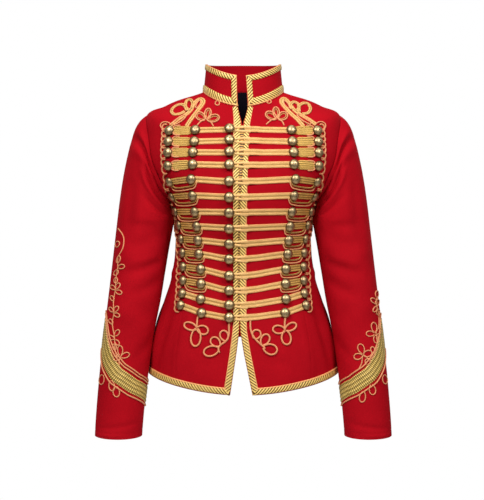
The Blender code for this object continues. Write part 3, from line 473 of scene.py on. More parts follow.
MIRRORED_TWIST = tuple(Point(-across, height) for across, height in reversed(TWIST))
WIDE = strands(5, 0.0022)
FLAT_CORD = (Point(-1.0, -0.0004), Point(-0.9, 0.0011), Point(-0.5, 0.0020), Point(0.0, 0.0024),
             Point(0.5, 0.0020), Point(0.9, 0.0011), Point(1.0, -0.0004))
CORE = (Point(-1.0, 0.0), Point(0.0, 0.0004), Point(1.0, 0.0))
LOW = strands(3, 0.0022)
BAND = strands(4, 0.0017)


# Curves and surfaces


def unit(vectors):
    return vectors / np.linalg.norm(vectors, axis=-1, keepdims=True)


def arrays(a, b):
    return np.broadcast_arrays(np.asarray(a, float), np.asarray(b, float))


def halve(low, high, times, test):
    """Values between two others where a test stops being true, found by halving."""
    for _ in range(times):
        middle = (low + high) / 2
        passed = test(middle)
        low, high = np.where(passed, middle, low), np.where(passed, high, middle)
    return middle


def through(a, b, c, d, share):
    """A smooth curve from b to c, with a before them and d after."""
    curve = (-a + c) * share + (2 * a - 5 * b + 4 * c - d) * share ** 2
    return b + 0.5 * (curve + (-a + 3 * b - 3 * c + d) * share ** 3)


def table_curve(rows, place):
    """Rows of a table at fractional places, on a smooth curve through its rows."""
    spots = np.array(rows, float)
    last = len(spots) - 1
    place = np.asarray(place, float)
    index = np.clip(np.floor(place).astype(int), 0, last - 1)
    return through(spots[np.maximum(index - 1, 0)], spots[index], spots[index + 1],
                   spots[np.minimum(index + 2, last)], (place - index)[..., None])


def column(rows, key, name):
    """One column of a table at values of its first, on straight lines."""
    return np.interp(key, [row[0] for row in rows], [getattr(row, name) for row in rows])


def ring_points(ring, angle):
    """Points of body rings, by their turns in radians from the front towards +X."""
    across, along = np.sin(angle), np.cos(angle)
    total = np.abs(across) ** SQUARENESS + np.abs(along) ** SQUARENESS
    reach = total ** (-1 / SQUARENESS)
    front = along > 0
    depth = np.where(front, ring[..., 4], ring[..., 5])
    z_end = np.where(front, ring[..., 0], ring[..., 2])
    z = ring[..., 1] * across ** 2 + z_end * along ** 2
    return np.stack((ring[..., 3] * across * reach, -depth * along * reach, z), -1)


def plain_body(angle, level):
    return ring_points(table_curve(RINGS, level), angle)


def normals(surface, u, v, step=0.001):
    """The outward directions of a surface."""
    along = surface(u + step, v) - surface(u - step, v)
    return unit(np.cross(along, surface(u, v + step) - surface(u, v - step)))


def fold_relief(x, y, fold, radius, length_of):
    """How far one fold stands out at places on the unrolled cloth."""
    ax, bx = radians(fold.angle_a) * radius, radians(fold.angle_b) * radius
    ay, by = length_of(fold.end_a), length_of(fold.end_b)
    run_x, run_y = bx - ax, by - ay
    length = sqrt(run_x ** 2 + run_y ** 2)
    share = ((x - ax) * run_x + (y - ay) * run_y) / length ** 2
    side = ((x - ax) * run_y - (y - ay) * run_x) / length
    over = np.maximum(np.maximum(-share, share - 1), 0) * length
    ends = np.sin(pi * np.clip(share, 0.02, 0.98)) ** 0.7
    return fold.depth * ends * np.exp(-(side ** 2 + over ** 2) / fold.width ** 2)


def body(angle, level):
    """The body's cloth, with its folds."""
    plain = plain_body(angle, level)
    direction = normals(plain_body, angle, np.minimum(level, TOP_LEVEL - 0.002))
    x, z = np.abs((angle + pi) % (2 * pi) - pi) * BODY_RADIUS, plain[..., 2]
    relief = sum(fold_relief(x, z, fold, BODY_RADIUS, float) for fold in BODY_FOLDS)
    return plain + direction * relief[..., None]


def collar(angle, share):
    low = ring_points(np.array(RINGS[-1], float), angle)
    high = ring_points(np.array(COLLAR_TOP, float), angle)
    share = np.asarray(share, float)[..., None]
    return low + (high - low) * share


def place_on_body(x, z):
    """Turns and levels of the places on the front that lie at x and z."""
    x, z = arrays(x, z)

    def turned(level):
        share = np.minimum(np.abs(x) / table_curve(RINGS, level)[..., 3], 0.9995)
        ratio = share ** SQUARENESS / (1 - share ** SQUARENESS)
        return np.arctan(ratio ** (1 / SQUARENESS)) * np.where(x > 0, 1, -1)

    level = halve(np.zeros(x.shape), np.full(x.shape, float(TOP_LEVEL)), 34,
                  lambda level: plain_body(turned(level), level)[..., 2] < z)
    return turned(level), level


def armhole_point(turn):
    """Points of the left armhole, turned from the shoulder tip towards the front."""
    level = ARMHOLE_LEVEL + ARMHOLE_HALF_HEIGHT * np.cos(turn)
    return plain_body(np.radians(90 - ARMHOLE_HALF_ANGLE * np.sin(turn)), level)


def sleeve_middle(v):
    """A sleeve's rings at places down it, with each one's middle and half width."""
    ring = table_curve(SLEEVE_RINGS, v)
    return ring, (ring[..., 1] + ring[..., 2]) / 2, (ring[..., 2] - ring[..., 1]) / 2


def sleeve_section(turn, v):
    ring, middle, half = sleeve_middle(v)
    return np.stack((middle + half * np.cos(turn), ring[..., 3] - ring[..., 4] * np.sin(turn),
                     ring[..., 0] - ring[..., 5] * np.sin(turn)), -1)


def plain_sleeve(turn, v):
    """Points of the left sleeve: v runs from -1 at the armhole, past 0, to the cuff."""
    turn, v = arrays(turn, v)
    lower = sleeve_section(turn, np.maximum(v, 0))
    start, end = armhole_point(turn), sleeve_section(turn, np.zeros(turn.shape))
    leave = unit(sleeve_section(turn, np.full(turn.shape, 0.02)) - end)
    leave *= np.linalg.norm(end - start, axis=-1, keepdims=True) * 0.95
    top, front = np.maximum(np.cos(turn), 0) ** 2, np.sin(turn)
    under = np.maximum(-np.cos(turn), 0) ** 2
    way = top[..., None] * (0.85, 0, -0.53) + under[..., None] * (0.22, 0, -1.0)
    way = way + (front ** 2)[..., None] * (0.55, 0, -0.70)
    way[..., 1] -= 0.30 * np.where(front > 0, 1, -1) * front ** 2
    reach = 0.13 * top + 0.085 * front ** 2 + 0.035 * under
    way *= (reach / np.linalg.norm(way, axis=-1))[..., None]
    s = np.clip(v + 1, 0, 1)[..., None]
    cap = start * (2 * s ** 3 - 3 * s ** 2 + 1) + way * (s ** 3 - 2 * s ** 2 + s)
    cap = cap + end * (-2 * s ** 3 + 3 * s ** 2) + leave * (s ** 3 - s ** 2)
    return np.where((v >= 0)[..., None], lower, cap)


def down_sleeve(v):
    """Metres down the sleeve from its first ring."""
    return v * np.where(np.asarray(v) < 0, CAP_LENGTH, ARM_STEP)


def sleeve(turn, v):
    """The left sleeve's cloth, with its folds."""
    turn, v = arrays(turn, v)
    relief = np.zeros(turn.shape)
    for fold in SLEEVE_FOLDS:
        middle = radians(fold.angle_a + fold.angle_b) / 2
        x = ((turn - middle + pi) % (2 * pi) - pi + middle) * SLEEVE_RADIUS
        relief = relief + fold_relief(x, down_sleeve(v), fold, SLEEVE_RADIUS, down_sleeve)
    relief = relief * np.clip((v + 1) * 9, 0, 1)
    return plain_sleeve(turn, v) + normals(plain_sleeve, turn, v) * relief[..., None]


def place_down_sleeve(turn, z):
    """Places down the sleeve that lie at a height, by turns in radians."""
    turn, z = arrays(turn, z)
    return halve(np.full(turn.shape, -0.6), np.full(turn.shape, SLEEVE_END), 30,
                 lambda v: plain_sleeve(turn, v)[..., 2] > z)


def place_on_sleeve(x, z):
    """Turns and places on the front of the sleeve that lie at x and z."""
    x, z = arrays(x, z)
    turn = np.full(x.shape, pi / 2)
    for _ in range(8):
        v = place_down_sleeve(turn, z)
        _, middle, half = sleeve_middle(np.maximum(v, 0))
        turn = np.arccos(np.clip((x - middle) / half, -0.995, 0.995))
    return turn, v


# Meshes


class Build:
    """Grids of points gathered into one mesh, with a map in metres on every face."""

    def __init__(self):
        self.points, self.faces, self.uvs, self.slots, self.count = [], [], [], [], 0

    def grid(self, points, uv, wrap_rows=False, wrap_columns=False, slot=0, flip=False):
        rows, columns = points.shape[:2]
        r, c = np.meshgrid(np.arange(rows if wrap_rows else rows - 1),
                           np.arange(columns if wrap_columns else columns - 1), indexing="ij")
        r, c = r.ravel(), c.ravel()
        r1, c1 = (r + 1) % rows, (c + 1) % columns
        quads = np.stack((r * columns + c, r * columns + c1, r1 * columns + c1, r1 * columns + c), 1)
        corners = np.stack((uv[r, c], uv[r, c + 1], uv[r + 1, c + 1], uv[r + 1, c]), 1)
        self.points.append(points.reshape(-1, 3))
        self.add(quads + self.count, corners, slot, flip)
        self.count += rows * columns

    def add(self, quads, corners, slot, flip):
        """Faces by the numbers of their points, with each corner's place on the map."""
        if flip:
            quads, corners = quads[:, ::-1], corners[:, ::-1]
        self.faces.append(quads)
        self.uvs.append(corners.reshape(-1, 2))
        self.slots.append(np.full(len(quads), slot))

    def finish(self, name, materials, sharp=None):
        points, faces = np.concatenate(self.points), np.concatenate(self.faces)
        mesh = bpy.data.meshes.new(name)
        mesh.from_pydata(points.tolist(), [], faces.tolist())
        layer = mesh.uv_layers.new(name="metres")
        layer.data.foreach_set("uv", np.concatenate(self.uvs).astype(np.float32).ravel())
        mesh.polygons.foreach_set("material_index", np.concatenate(self.slots).astype(np.int32))
        mesh.polygons.foreach_set("use_smooth", np.ones(len(faces), bool))
        for finish in materials:
            mesh.materials.append(finish)
        if sharp:
            mesh.set_sharp_from_angle(angle=radians(sharp))
        mesh.update()
        made = bpy.data.objects.new(name, mesh)
        bpy.context.scene.collection.objects.link(made)
        return made


def spread(along, across):
    """A map over a grid: one value for each row and one for each column."""
    return np.stack(np.broadcast_arrays(along[:, None], across[None, :]), -1)


def lengths(points, closed=False):
    """Distance along a line of points, with one more at the end of a closed one."""
    line = np.concatenate((points, points[:1])) if closed else points
    steps = np.linalg.norm(np.diff(line, axis=0), axis=1)
    return np.concatenate(([0.0], np.cumsum(steps)))


def walk(surface, u, v, closed):
    """Points, outward directions, sideways directions and slopes along a line."""
    points = surface(u, v)
    step = 0.002
    ju = (surface(u + step, v) - surface(u - step, v)) / (2 * step)
    jv = (surface(u, v + step) - surface(u, v - step)) / (2 * step)
    out = unit(np.cross(ju, jv))
    if closed:
        ahead = np.roll(points, -1, 0) - points
        behind = np.roll(ahead, 1, 0)
    else:
        ahead = np.diff(points, axis=0)
        behind = np.concatenate((ahead[:1], ahead))
        ahead = np.concatenate((ahead, ahead[-1:]))
    ahead = unit(ahead)
    way = unit(ahead + unit(behind))
    side = unit(np.cross(out, way))
    return points, out, side / np.clip((way * ahead).sum(1), 0.6, 1)[:, None], ju, jv


def braid(build, surface, u, v, half, section, lift=0.0, closed=False, slot=0, flip=False,
          mirror=False):
    """A flat braid of many strands laid along a line on a surface."""
    points, out, side, ju, jv = walk(surface, u, v, closed)
    half = np.broadcast_to(np.asarray(half, float), len(points))
    lift = np.broadcast_to(np.asarray(lift, float), len(points))
    a, b, c = (ju * ju).sum(1), (ju * jv).sum(1), (jv * jv).sum(1)
    det = a * c - b * b
    columns = []
    for across, height in section:
        step = side * (across * half)[:, None]
        p, q = (ju * step).sum(1), (jv * step).sum(1)
        spot = surface(u + (c * p - b * q) / det, v + (a * q - b * p) / det)
        columns.append(spot + out * (lift + height)[:, None])
    grid = np.stack(columns, 1)
    if mirror:
        grid = grid * (-1, 1, 1)
    run = lengths(points, closed)
    shares = np.array([across for across, _ in section])
    halves = np.concatenate((half, half[:1])) if closed else half
    uv = np.stack(np.broadcast_arrays(run[:, None], shares[None, :] * halves[:, None]), -1)
    build.grid(grid, uv, wrap_rows=closed, slot=slot, flip=flip != mirror)


def cord(build, surface, u, v, radius=CORD_RADIUS, lift=CORD_LIFT, closed=False, slot=0,
         mirror=False):
    """A round cord laid along a line on a surface."""
    points, out, side, _, _ = walk(surface, u, v, closed)
    radius = np.full(len(points), float(radius))
    if not closed:
        radius[[0, -1]] *= 0.3
    turn = np.arange(CORD_SIDES) * 2 * pi / CORD_SIDES
    ring = np.cos(turn)[None, :, None] * unit(side)[:, None, :]
    ring = ring + np.sin(turn)[None, :, None] * out[:, None, :]
    grid = points[:, None, :] + out[:, None, :] * (lift + radius * 0.8)[:, None, None]
    grid = grid + ring * radius[:, None, None]
    if mirror:
        grid = grid * (-1, 1, 1)
    uv = spread(lengths(points, closed), np.linspace(0, 2 * pi * CORD_RADIUS, CORD_SIDES + 1))
    build.grid(grid, uv, wrap_rows=closed, wrap_columns=True, slot=slot, flip=mirror)


def smooth(places, spacing=0.0012):
    """Evenly spaced places on a smooth curve through a few."""
    spots = np.array(places, float)
    last = len(spots) - 1
    share = np.linspace(0, 1, 12, endpoint=False)[:, None]
    made = [through(spots[max(k - 1, 0)], spots[k], spots[k + 1], spots[min(k + 2, last)], share)
            for k in range(last)]
    line = np.concatenate(made + [spots[-1:]])
    run = lengths(line)
    stops = np.linspace(0, run[-1], max(int(run[-1] / spacing), 8))
    return np.stack([np.interp(stops, run, line[:, k]) for k in range(2)], 1)


def petal_line(petal, points=22):
    """Places round a looped petal, from its root and back."""
    t = np.linspace(0.03, 0.97, points)
    along = petal.length * (1 - np.cos(2 * pi * t)) / 2
    across = petal.breadth / 2 * 1.16 * np.sin(2 * pi * t) * (0.40 + 0.60 * np.sin(pi * t) ** 0.5)
    x = petal.x + along * sin(petal.turn) + across * cos(petal.turn)
    z = petal.z + along * cos(petal.turn) - across * sin(petal.turn)
    return smooth(np.stack((x, z), 1), 0.0011)


def body_line(places, side=1):
    places = np.asarray(places, float)
    return place_on_body(places[:, 0] * side, places[:, 1])


def body_cord(build, places, side, radius, lift, slot=0):
    cord(build, body, *body_line(places, side), radius, lift, slot=slot)


def seat(x, z):
    """A point on the front of the body, and its outward direction."""
    u, v = place_on_body(np.array([x]), np.array([z]))
    return body(u, v)[0], normals(plain_body, u, v)[0]


def turned_form(build, point, out, profile, rises, sides):
    """A form of brass about an axis, by reaches from it and heights along it."""
    across = unit(np.cross((0.0, 0.0, 1.0), out))
    turn = np.arange(sides) * 2 * pi / sides
    ring = np.cos(turn)[:, None] * across + np.sin(turn)[:, None] * np.cross(out, across)
    grid = np.stack([point + ring * reach + out * height for reach, height in profile])
    uv = spread(np.array(rises, float), np.linspace(0, 1, sides + 1))[..., ::-1]
    build.grid(grid, uv, wrap_columns=True, slot=METAL, flip=True)


def dome(build, point, out, base=BUTTON_SEAT):
    """A domed metal button with a rolled rim."""
    profile = [(reach * BUTTON_RADIUS, base + rise * BUTTON_RADIUS * DOME_HEIGHT)
               for reach, rise in DOME]
    turned_form(build, point, out, profile, [rise for _, rise in DOME], 20)


# Materials


# Lines of painted shade along a braid's grooves: their pitch, and their shift across it
Lines = namedtuple("Lines", "pitch shift")
Edge = namedtuple("Edge", "start side")
EDGE_PEACH = (0.930, 0.400, 0.150)


class Shader:
    """A material's nodes, made one by one."""

    def __init__(self, name, roughness, metallic=0.0):
        self.material = bpy.data.materials.new(name)
        self.material.use_nodes = True
        self.tree = self.material.node_tree
        self.surface = self.tree.nodes["Principled BSDF"]
        self.set("Roughness", roughness)
        self.set("Metallic", metallic)

    def put(self, socket, value):
        """A number, a colour or another node's output for a socket."""
        if isinstance(value, bpy.types.NodeSocket):
            self.tree.links.new(value, socket)
        else:
            socket.default_value = (*value, 1.0) if isinstance(value, tuple) else value

    def set(self, name, value):
        self.put(self.surface.inputs[name], value)

    def node(self, kind, inputs, output=0, **settings):
        """The output of a new node of a kind, with its inputs and settings."""
        made = self.tree.nodes.new("ShaderNode" + kind)
        for name, value in settings.items():
            setattr(made, name, value)
        for name, value in dict(inputs).items():
            self.put(made.inputs[name], value)
        return made.outputs[output]

    def math(self, operation, *values):
        return self.node("Math", enumerate(values), operation=operation)

    def along_across(self):
        """Metres along a piece and across it."""
        along = self.node("SeparateXYZ", {0: self.node("UVMap", {}, uv_map="metres")})
        return along, along.node.outputs[1]

    def place(self):
        return self.node("TexCoord", {}, "Object")

    def noise(self, vector, scale, detail=2.0, roughness=0.5):
        inputs = {"Vector": vector, "Scale": scale, "Detail": detail, "Roughness": roughness}
        return self.node("TexNoise", inputs, "Fac")

    def ramp(self, value, *stops):
        """A colour for each value, by stops of a place and a colour."""
        colour = self.node("ValToRGB", {0: value})
        elements = colour.node.color_ramp.elements
        while len(elements) < len(stops):
            elements.new(0.5)
        for element, (place, shade) in zip(elements, stops):
            element.position = place
            element.color = (*shade, 1.0)
        return colour

    def wave(self, value, pitch):
        """A sine of a length, from 0 to 1, with one turn in each pitch."""
        turned = self.math("MULTIPLY", value, 2 * pi / pitch)
        return self.math("MULTIPLY_ADD", self.math("SINE", turned), 0.5, 0.5)

    def bump(self, height, distance, strength, **under):
        inputs = {"Height": height, "Distance": distance, "Strength": strength, **under}
        made = self.node("Bump", inputs)
        self.set("Normal", made)
        return made


def drill(name, light, dark, sheen, pitch=0.0011):
    """Cotton drill: a fine diagonal twill with slightly uneven dye."""
    made = Shader(name, 0.78)
    u, v = made.along_across()
    place = made.place()
    twill = made.wave(made.math("ADD", u, v), pitch)
    patch = made.noise(place, 16.0, 3.0)
    grain = made.noise(place, 420.0)
    tone = made.math("MULTIPLY_ADD", patch, 0.55, made.math("MULTIPLY", grain, 0.30))
    tone = made.math("ADD", tone, made.math("MULTIPLY", twill, 0.14))
    made.set("Base Color", made.ramp(tone, (0.22, dark), (0.78, light)))
    soft = made.bump(made.noise(place, 34.0, 3.0), 0.0016, 0.35)
    made.bump(made.math("ADD", twill, made.math("MULTIPLY", grain, 0.6)), 0.00012, 0.5, Normal=soft)
    made.set("Sheen Weight", sheen)
    made.set("Sheen Roughness", 0.45)
    made.set("Sheen Tint", (1.0, 0.55, 0.50))
    made.set("Specular IOR Level", 0.04)
    return made.material


def woven_braid(name, colours, pitch, slant, groove_shade=None, light_edge=None, turned=False,
                slots=0.52):
    """Metallic braid: slanted threads, painted shade in lines along the grooves between its strands,
    and a lighter edge cord.
    """
    light, mid, dark = colours
    made = Shader(name, 0.45, 0.12)
    u, v = made.along_across()
    place = made.place()
    fold = made.math("ABSOLUTE", v) if turned else v
    thread = made.wave(made.math("MULTIPLY_ADD", fold, slant, u), pitch)
    # Fine noise: in the colour it paints glints of the metal threads, a painted highlight; in the bump
    # it is the threads' grain
    glint = made.noise(place, 900.0)
    tone = made.math("MULTIPLY_ADD", thread, slots, made.math("MULTIPLY", glint, 0.34))
    tone = made.math("MULTIPLY_ADD", made.noise(place, 60.0), 0.24, tone)
    tone = made.math("ADD", tone, 0.24 - slots / 2)
    height = made.math("MULTIPLY_ADD", thread, 0.8, glint)
    # Painted shade: the colour darkens in lines along the grooves between the strands; the same lines
    # deepen the bump
    if groove_shade:
        shifted = made.math("ADD", v, groove_shade.shift)
        line = made.math("POWER", made.wave(shifted, groove_shade.pitch), 0.45)
        tone = made.math("MULTIPLY", tone, made.math("MULTIPLY_ADD", line, 0.75, 0.25))
        height = made.math("ADD", height, line)
    colour = made.ramp(tone, (0.20, dark), (0.50, mid), (0.80, light))
    if light_edge:
        side = light_edge.side
        across = made.math("MULTIPLY", v, side) if side else made.math("ABSOLUTE", v)
        rim = made.math("GREATER_THAN", across, light_edge.start)
        shares = {0: made.math("MULTIPLY", rim, 0.75), 6: colour, 7: EDGE_PEACH}
        colour = made.node("Mix", shares, 2, data_type="RGBA")
    made.set("Base Color", colour)
    made.bump(height, 0.0004, 0.9)
    made.set("Specular IOR Level", 0.45)
    return made.material


def twisted_cord(name, light, dark, pitch=0.0021):
    """Cord of a few strands twisted together."""
    made = Shader(name, 0.5, 0.08)
    u, v = made.along_across()
    twist = made.wave(made.math("ADD", u, made.math("MULTIPLY", v, 0.35)), pitch)
    grain = made.noise(made.place(), 700.0)
    tone = made.math("MULTIPLY_ADD", twist, 0.6, made.math("MULTIPLY", grain, 0.4))
    made.set("Base Color", made.ramp(tone, (0.15, dark), (0.62, light)))
    made.bump(twist, 0.0003, 0.8)
    return made.material


def worn_brass_painted_light(name):
    """Antique brass with patches of wear, lighter towards the top of the dome as a painted highlight
    and darkest at the rim as painted shade.
    """
    made = Shader(name, 0.33, 1.0)
    _, rise = made.along_across()
    place = made.place()
    wear = made.noise(place, 240.0, 4.0, 0.6)
    # Wear noise, plus the rise up the dome, which paints a highlight on the top and shade at the rim
    tone = made.math("MULTIPLY_ADD", wear, 0.35, made.math("MULTIPLY", rise, 0.75))
    made.set("Base Color", made.ramp(tone, (0.12, (0.050, 0.028, 0.011)),
                                     (0.42, (0.22, 0.145, 0.065)), (0.85, (0.54, 0.40, 0.21))))
    made.set("Roughness", made.math("MULTIPLY_ADD", wear, 0.20, 0.33))
    made.bump(made.noise(place, 420.0, 3.0), 0.00022, 0.5)
    return made.material


SCARLET = drill("scarlet_drill", (0.450, 0.0036, 0.0104), (0.320, 0.0021, 0.0072), 0.0)
LINING_BLACK = drill("black_satin_lining", (0.012, 0.010, 0.018), (0.004, 0.004, 0.007), 0.05, 0.0006)

# Braid colours, each from its lightest thread to its darkest
BRIGHT_GOLD = ((1.000, 0.640, 0.250), (0.920, 0.510, 0.160), (0.380, 0.195, 0.045))
YELLOW_GOLD = ((1.000, 0.680, 0.210), (0.840, 0.490, 0.100), (0.300, 0.160, 0.030))
# A darker copy of the gold for the lower rows, which stand in shade: painted shade
SHADED_GOLD = ((0.900, 0.520, 0.140), (0.600, 0.300, 0.060), (0.220, 0.100, 0.018))
TAPE_COLOURS = ((1.000, 0.700, 0.210), (0.720, 0.390, 0.070), (0.070, 0.036, 0.008))
CUFF_COLOURS = ((0.980, 0.680, 0.200), (0.640, 0.420, 0.090), (0.170, 0.105, 0.018))
# A dark strip with gold rungs for the gap between the tapes at the closing: its dark is painted shade
CLOSING_GAP_SHADE_COLOURS = ((0.700, 0.380, 0.090), (0.180, 0.075, 0.016), (0.030, 0.012, 0.006))

# Braids given Lines carry painted shade along the grooves between their strands
BAR_GOLD = woven_braid("bar_braid", BRIGHT_GOLD, 0.0016, 0.9, Lines(0.0063, -0.001575),
                       Edge(0.0050, 0), True)
KNOT_GOLD = woven_braid("knot_braid", BRIGHT_GOLD, 0.0016, 0.9, Lines(0.0042, -0.00105),
                        Edge(0.0034, 0), True)
WIDE_GOLD = woven_braid("wide_braid", YELLOW_GOLD, 0.0018, 0.8, Lines(0.0041, 0.0010))
SHADED_LOW_GOLD = woven_braid("low_braid", SHADED_GOLD, 0.0020, 0.8, Lines(0.0044, 0.0011))
TAPE_GOLD = woven_braid("edge_braid", TAPE_COLOURS, 0.0062, 1.0, None, Edge(0.0043, -1), slots=0.95)
TAPE_GOLD_LEFT = woven_braid("edge_braid_left", TAPE_COLOURS, 0.0062, -1.0, None, Edge(0.0043, 1),
                             slots=0.95)
CUFF_GOLD = woven_braid("cuff_braid", CUFF_COLOURS, 0.0036, 0.05, Lines(0.0075, 0.0019), slots=0.70)
CORD_PEACH = twisted_cord("peach_cord", (0.920, 0.380, 0.165), (0.420, 0.130, 0.045))
CORD_BRIGHT = twisted_cord("bright_cord", (1.000, 0.620, 0.240), (0.520, 0.280, 0.070))
CLOSING_GAP_SHADE = woven_braid("closing_ladder", CLOSING_GAP_SHADE_COLOURS, 0.0052, 0.0, slots=0.90)
CORD_GOLD = twisted_cord("gold_cord", (0.780, 0.400, 0.120), (0.240, 0.100, 0.024))
BRASS = worn_brass_painted_light("antique_brass")


# Cloth


def shares(count, near=(0.0, 0.006, 0.016, 0.032)):
    """Places across a panel, closer together beside its seams."""
    inner = np.linspace(0.055, 0.945, count)
    return np.concatenate((near, inner, [1 - share for share in reversed(near)]))


def dense_levels(top):
    below = np.linspace(0, UNDERARM, 84)
    around = ARMHOLE_LEVEL - ARMHOLE_HALF_HEIGHT * np.cos(np.linspace(0, pi, 49))
    above = np.linspace(SHOULDER_TIP, TOP_LEVEL, 30)
    levels = np.concatenate((below[:-1], around, above[1:]))
    return levels[levels <= top] if top < TOP_LEVEL else levels


def front_start(level, side):
    ring = table_curve(RINGS, level)
    middle, gap = (column(CLOSING, ring[:, 0], name) for name in ("middle", "half_gap"))
    return np.arctan((middle + side * gap) / ring[:, 3]) * side


def armhole_half(level):
    share = np.clip((level - ARMHOLE_LEVEL) / ARMHOLE_HALF_HEIGHT, -1, 1)
    return np.radians(ARMHOLE_HALF_ANGLE) * np.sqrt(1 - share ** 2)


def princess(level):
    return np.radians(column(PRINCESS, level, "angle"))


def panel_edges(kind, level, side):
    """Turns of a panel's two edges, counted from the front round its own side."""
    if kind == "front":
        end = np.where(level < PRINCESS_TOP + 0.01, princess(level), pi / 2 - armhole_half(level))
        return front_start(level, side), end - SEAM_GAP
    if kind == "side":
        return princess(level) + SEAM_GAP, pi / 2 - armhole_half(level) - SEAM_GAP
    return pi / 2 + armhole_half(level) + SEAM_GAP, np.full(level.shape, pi - SEAM_GAP)


def wall(name, outer, inner, uv, finish, closed=False, flip=False):
    """A cloth shell with a thickness: its outer and inner faces and its edges."""
    build = Build()
    rows, columns = outer.shape[:2]
    if closed:
        build.grid(outer, uv, wrap_columns=True, flip=flip)
        build.grid(inner, uv, wrap_columns=True, flip=not flip)
    else:
        around = np.concatenate((uv, uv[:, ::-1], uv[:, :1]), 1)
        build.grid(np.concatenate((outer, inner[:, ::-1]), 1), around, wrap_columns=True, flip=flip)
    for row, turned in ((0, flip), (rows - 1, not flip)):
        first = np.arange(columns if closed else columns - 1)
        second = (first + 1) % columns
        if closed:
            quads = np.stack((first, first + rows * columns, second + rows * columns, second), 1)
            quads += row * columns
        else:
            far = 2 * columns - 1
            quads = np.stack((first, far - first, far - second, second), 1) + row * 2 * columns
        edge = uv[row]
        corners = np.stack((edge[first], edge[first], edge[first + 1], edge[first + 1]), 1)
        build.add(quads, corners, 0, turned)
    return build.finish(name, [finish], sharp=40)


def panel(name, kind, side, columns, top=TOP_LEVEL):
    level = dense_levels(top)
    start, end = panel_edges(kind, level, side)
    share = shares(columns)
    angle = (start[:, None] + (end - start)[:, None] * share[None, :]) * side
    levels = np.broadcast_to(level[:, None], angle.shape)
    points = body(angle, levels)
    direction = normals(plain_body, angle, np.minimum(levels, TOP_LEVEL - 0.002))
    steps = np.linalg.norm(np.diff(points, axis=1), axis=2)
    across = np.concatenate((np.zeros((len(level), 1)), np.cumsum(steps, 1)), 1)
    rises = np.linalg.norm(np.diff(points, axis=0), axis=2).mean(1)
    up = np.concatenate(([0.0], np.cumsum(rises)))[:, None] * np.ones((1, len(share)))
    edge_a = across if kind != "front" else across + 1.0
    edge_b = across[:, -1:] - across
    sink = -SEAM_DIP * np.exp(-(np.minimum(edge_a, edge_b) / SEAM_REACH) ** 2)
    points = points + direction * sink[..., None]
    uv = np.stack((across * side, up), -1)
    return wall(name, points, points - direction * CLOTH, uv, SCARLET, flip=side < 0)


def neck_lining():
    level = np.linspace(10.4, TOP_LEVEL - 0.05, 26)
    half = pi / 2 + 0.45
    angle = np.linspace(half, 2 * pi - half, 60)[None, :] * np.ones((len(level), 1))
    levels = level[:, None] * np.ones((1, 60))
    direction = normals(plain_body, angle, levels)
    points = plain_body(angle, levels) - direction * (CLOTH + LINING_STANDOFF)
    uv = np.stack((angle * 0.09, levels * 0.03), -1)
    return wall("neck_lining_cloth", points, points - direction * LINING, uv, LINING_BLACK)


def collar_ends(share):
    z = RINGS[-1].z_front + (COLLAR_TOP.z_front - RINGS[-1].z_front) * share
    half_width = RINGS[-1].half_width + (COLLAR_TOP.half_width - RINGS[-1].half_width) * share
    middle, gap = (column(CLOSING, z, name) for name in ("middle", "half_gap"))
    return np.arctan((middle + gap) / half_width), 2 * pi + np.arctan((middle - gap) / half_width)


def collar_cloth():
    share = np.linspace(0, 1, 22)
    start, end = collar_ends(share)
    angle = start[:, None] + (end - start)[:, None] * np.linspace(0, 1, 150)[None, :]
    rows = share[:, None] * np.ones((1, 150))
    points = collar(angle, rows)
    direction = normals(collar, angle, rows)
    uv = np.stack((angle * 0.07, rows * 0.058), -1)
    return wall("collar_cloth", points, points - direction * CLOTH, uv, SCARLET)


def sleeve_cloth(name, side):
    v = np.concatenate((np.linspace(-1, -0.94, 5)[:-1], np.linspace(-0.94, 0, 62)[:-1],
                        np.linspace(0, SLEEVE_END, 128)))
    turns, places = np.meshgrid(np.linspace(0, 2 * pi, 96, endpoint=False), v)
    direction = normals(plain_sleeve, turns, places)
    seam = np.exp(-(np.abs(places + 1) * 0.16 / SEAM_REACH) ** 2) * SEAM_DIP
    hem = np.exp(-((places - (SLEEVE_END - 0.42)) / 0.03) ** 2) * 0.0004
    points = sleeve(turns, places) - direction * (seam + hem)[..., None]
    inner = points - direction * CLOTH
    uv = spread(v * ARM_STEP, np.linspace(0, 2 * pi, 97) * SLEEVE_RADIUS * side)[..., ::-1]
    if side < 0:
        points, inner = points * (-1, 1, 1), inner * (-1, 1, 1)
    return wall(name, points, inner, uv, SCARLET, closed=True, flip=side > 0)


# Trimming: each function adds its forms to the mesh of one piece


def collar_braid(build):
    """The tape round the collar's four edges, and a small loop under each end."""
    top = 1 - COLLAR_TAPE_INSET / COLLAR_HEIGHT
    base = (COLLAR_TAPE_INSET + COLLAR_BASE_RISE) / COLLAR_HEIGHT
    start, end = (float(value) for value in collar_ends(0.5))
    turn = COLLAR_TAPE_INSET / COLLAR_RADIUS
    low = np.linspace(start + turn, end - turn, 240)
    rise = np.linspace(base, top, 40)[1:-1]
    u = np.concatenate((low, np.full(38, end - turn), low[::-1], np.full(38, start + turn)))
    v = np.concatenate((np.full(240, base), rise, np.full(240, top), rise[::-1]))
    low_edge, high_edge = collar_ends(v)
    u = np.where(u < (start + end) / 2, u + (low_edge - start), u + (high_edge - end))
    broad = np.where(v < base + 0.01, COLLAR_BASE_HALF, COLLAR_TAPE_HALF)
    braid(build, collar, u, v, broad, TWIST, TAPE_LIFT, closed=True)
    for side, hand in reversed(HANDS):
        for petal in PETALS["collar_" + hand]:
            body_cord(build, petal_line(petal), side, 0.0012, 0.0, SECOND)


def hem_place(angle, distance):
    low = plain_body(angle, np.zeros(angle.shape))
    high = plain_body(angle, np.full(angle.shape, 0.2))
    return distance / np.linalg.norm(high - low, axis=-1) * 0.2


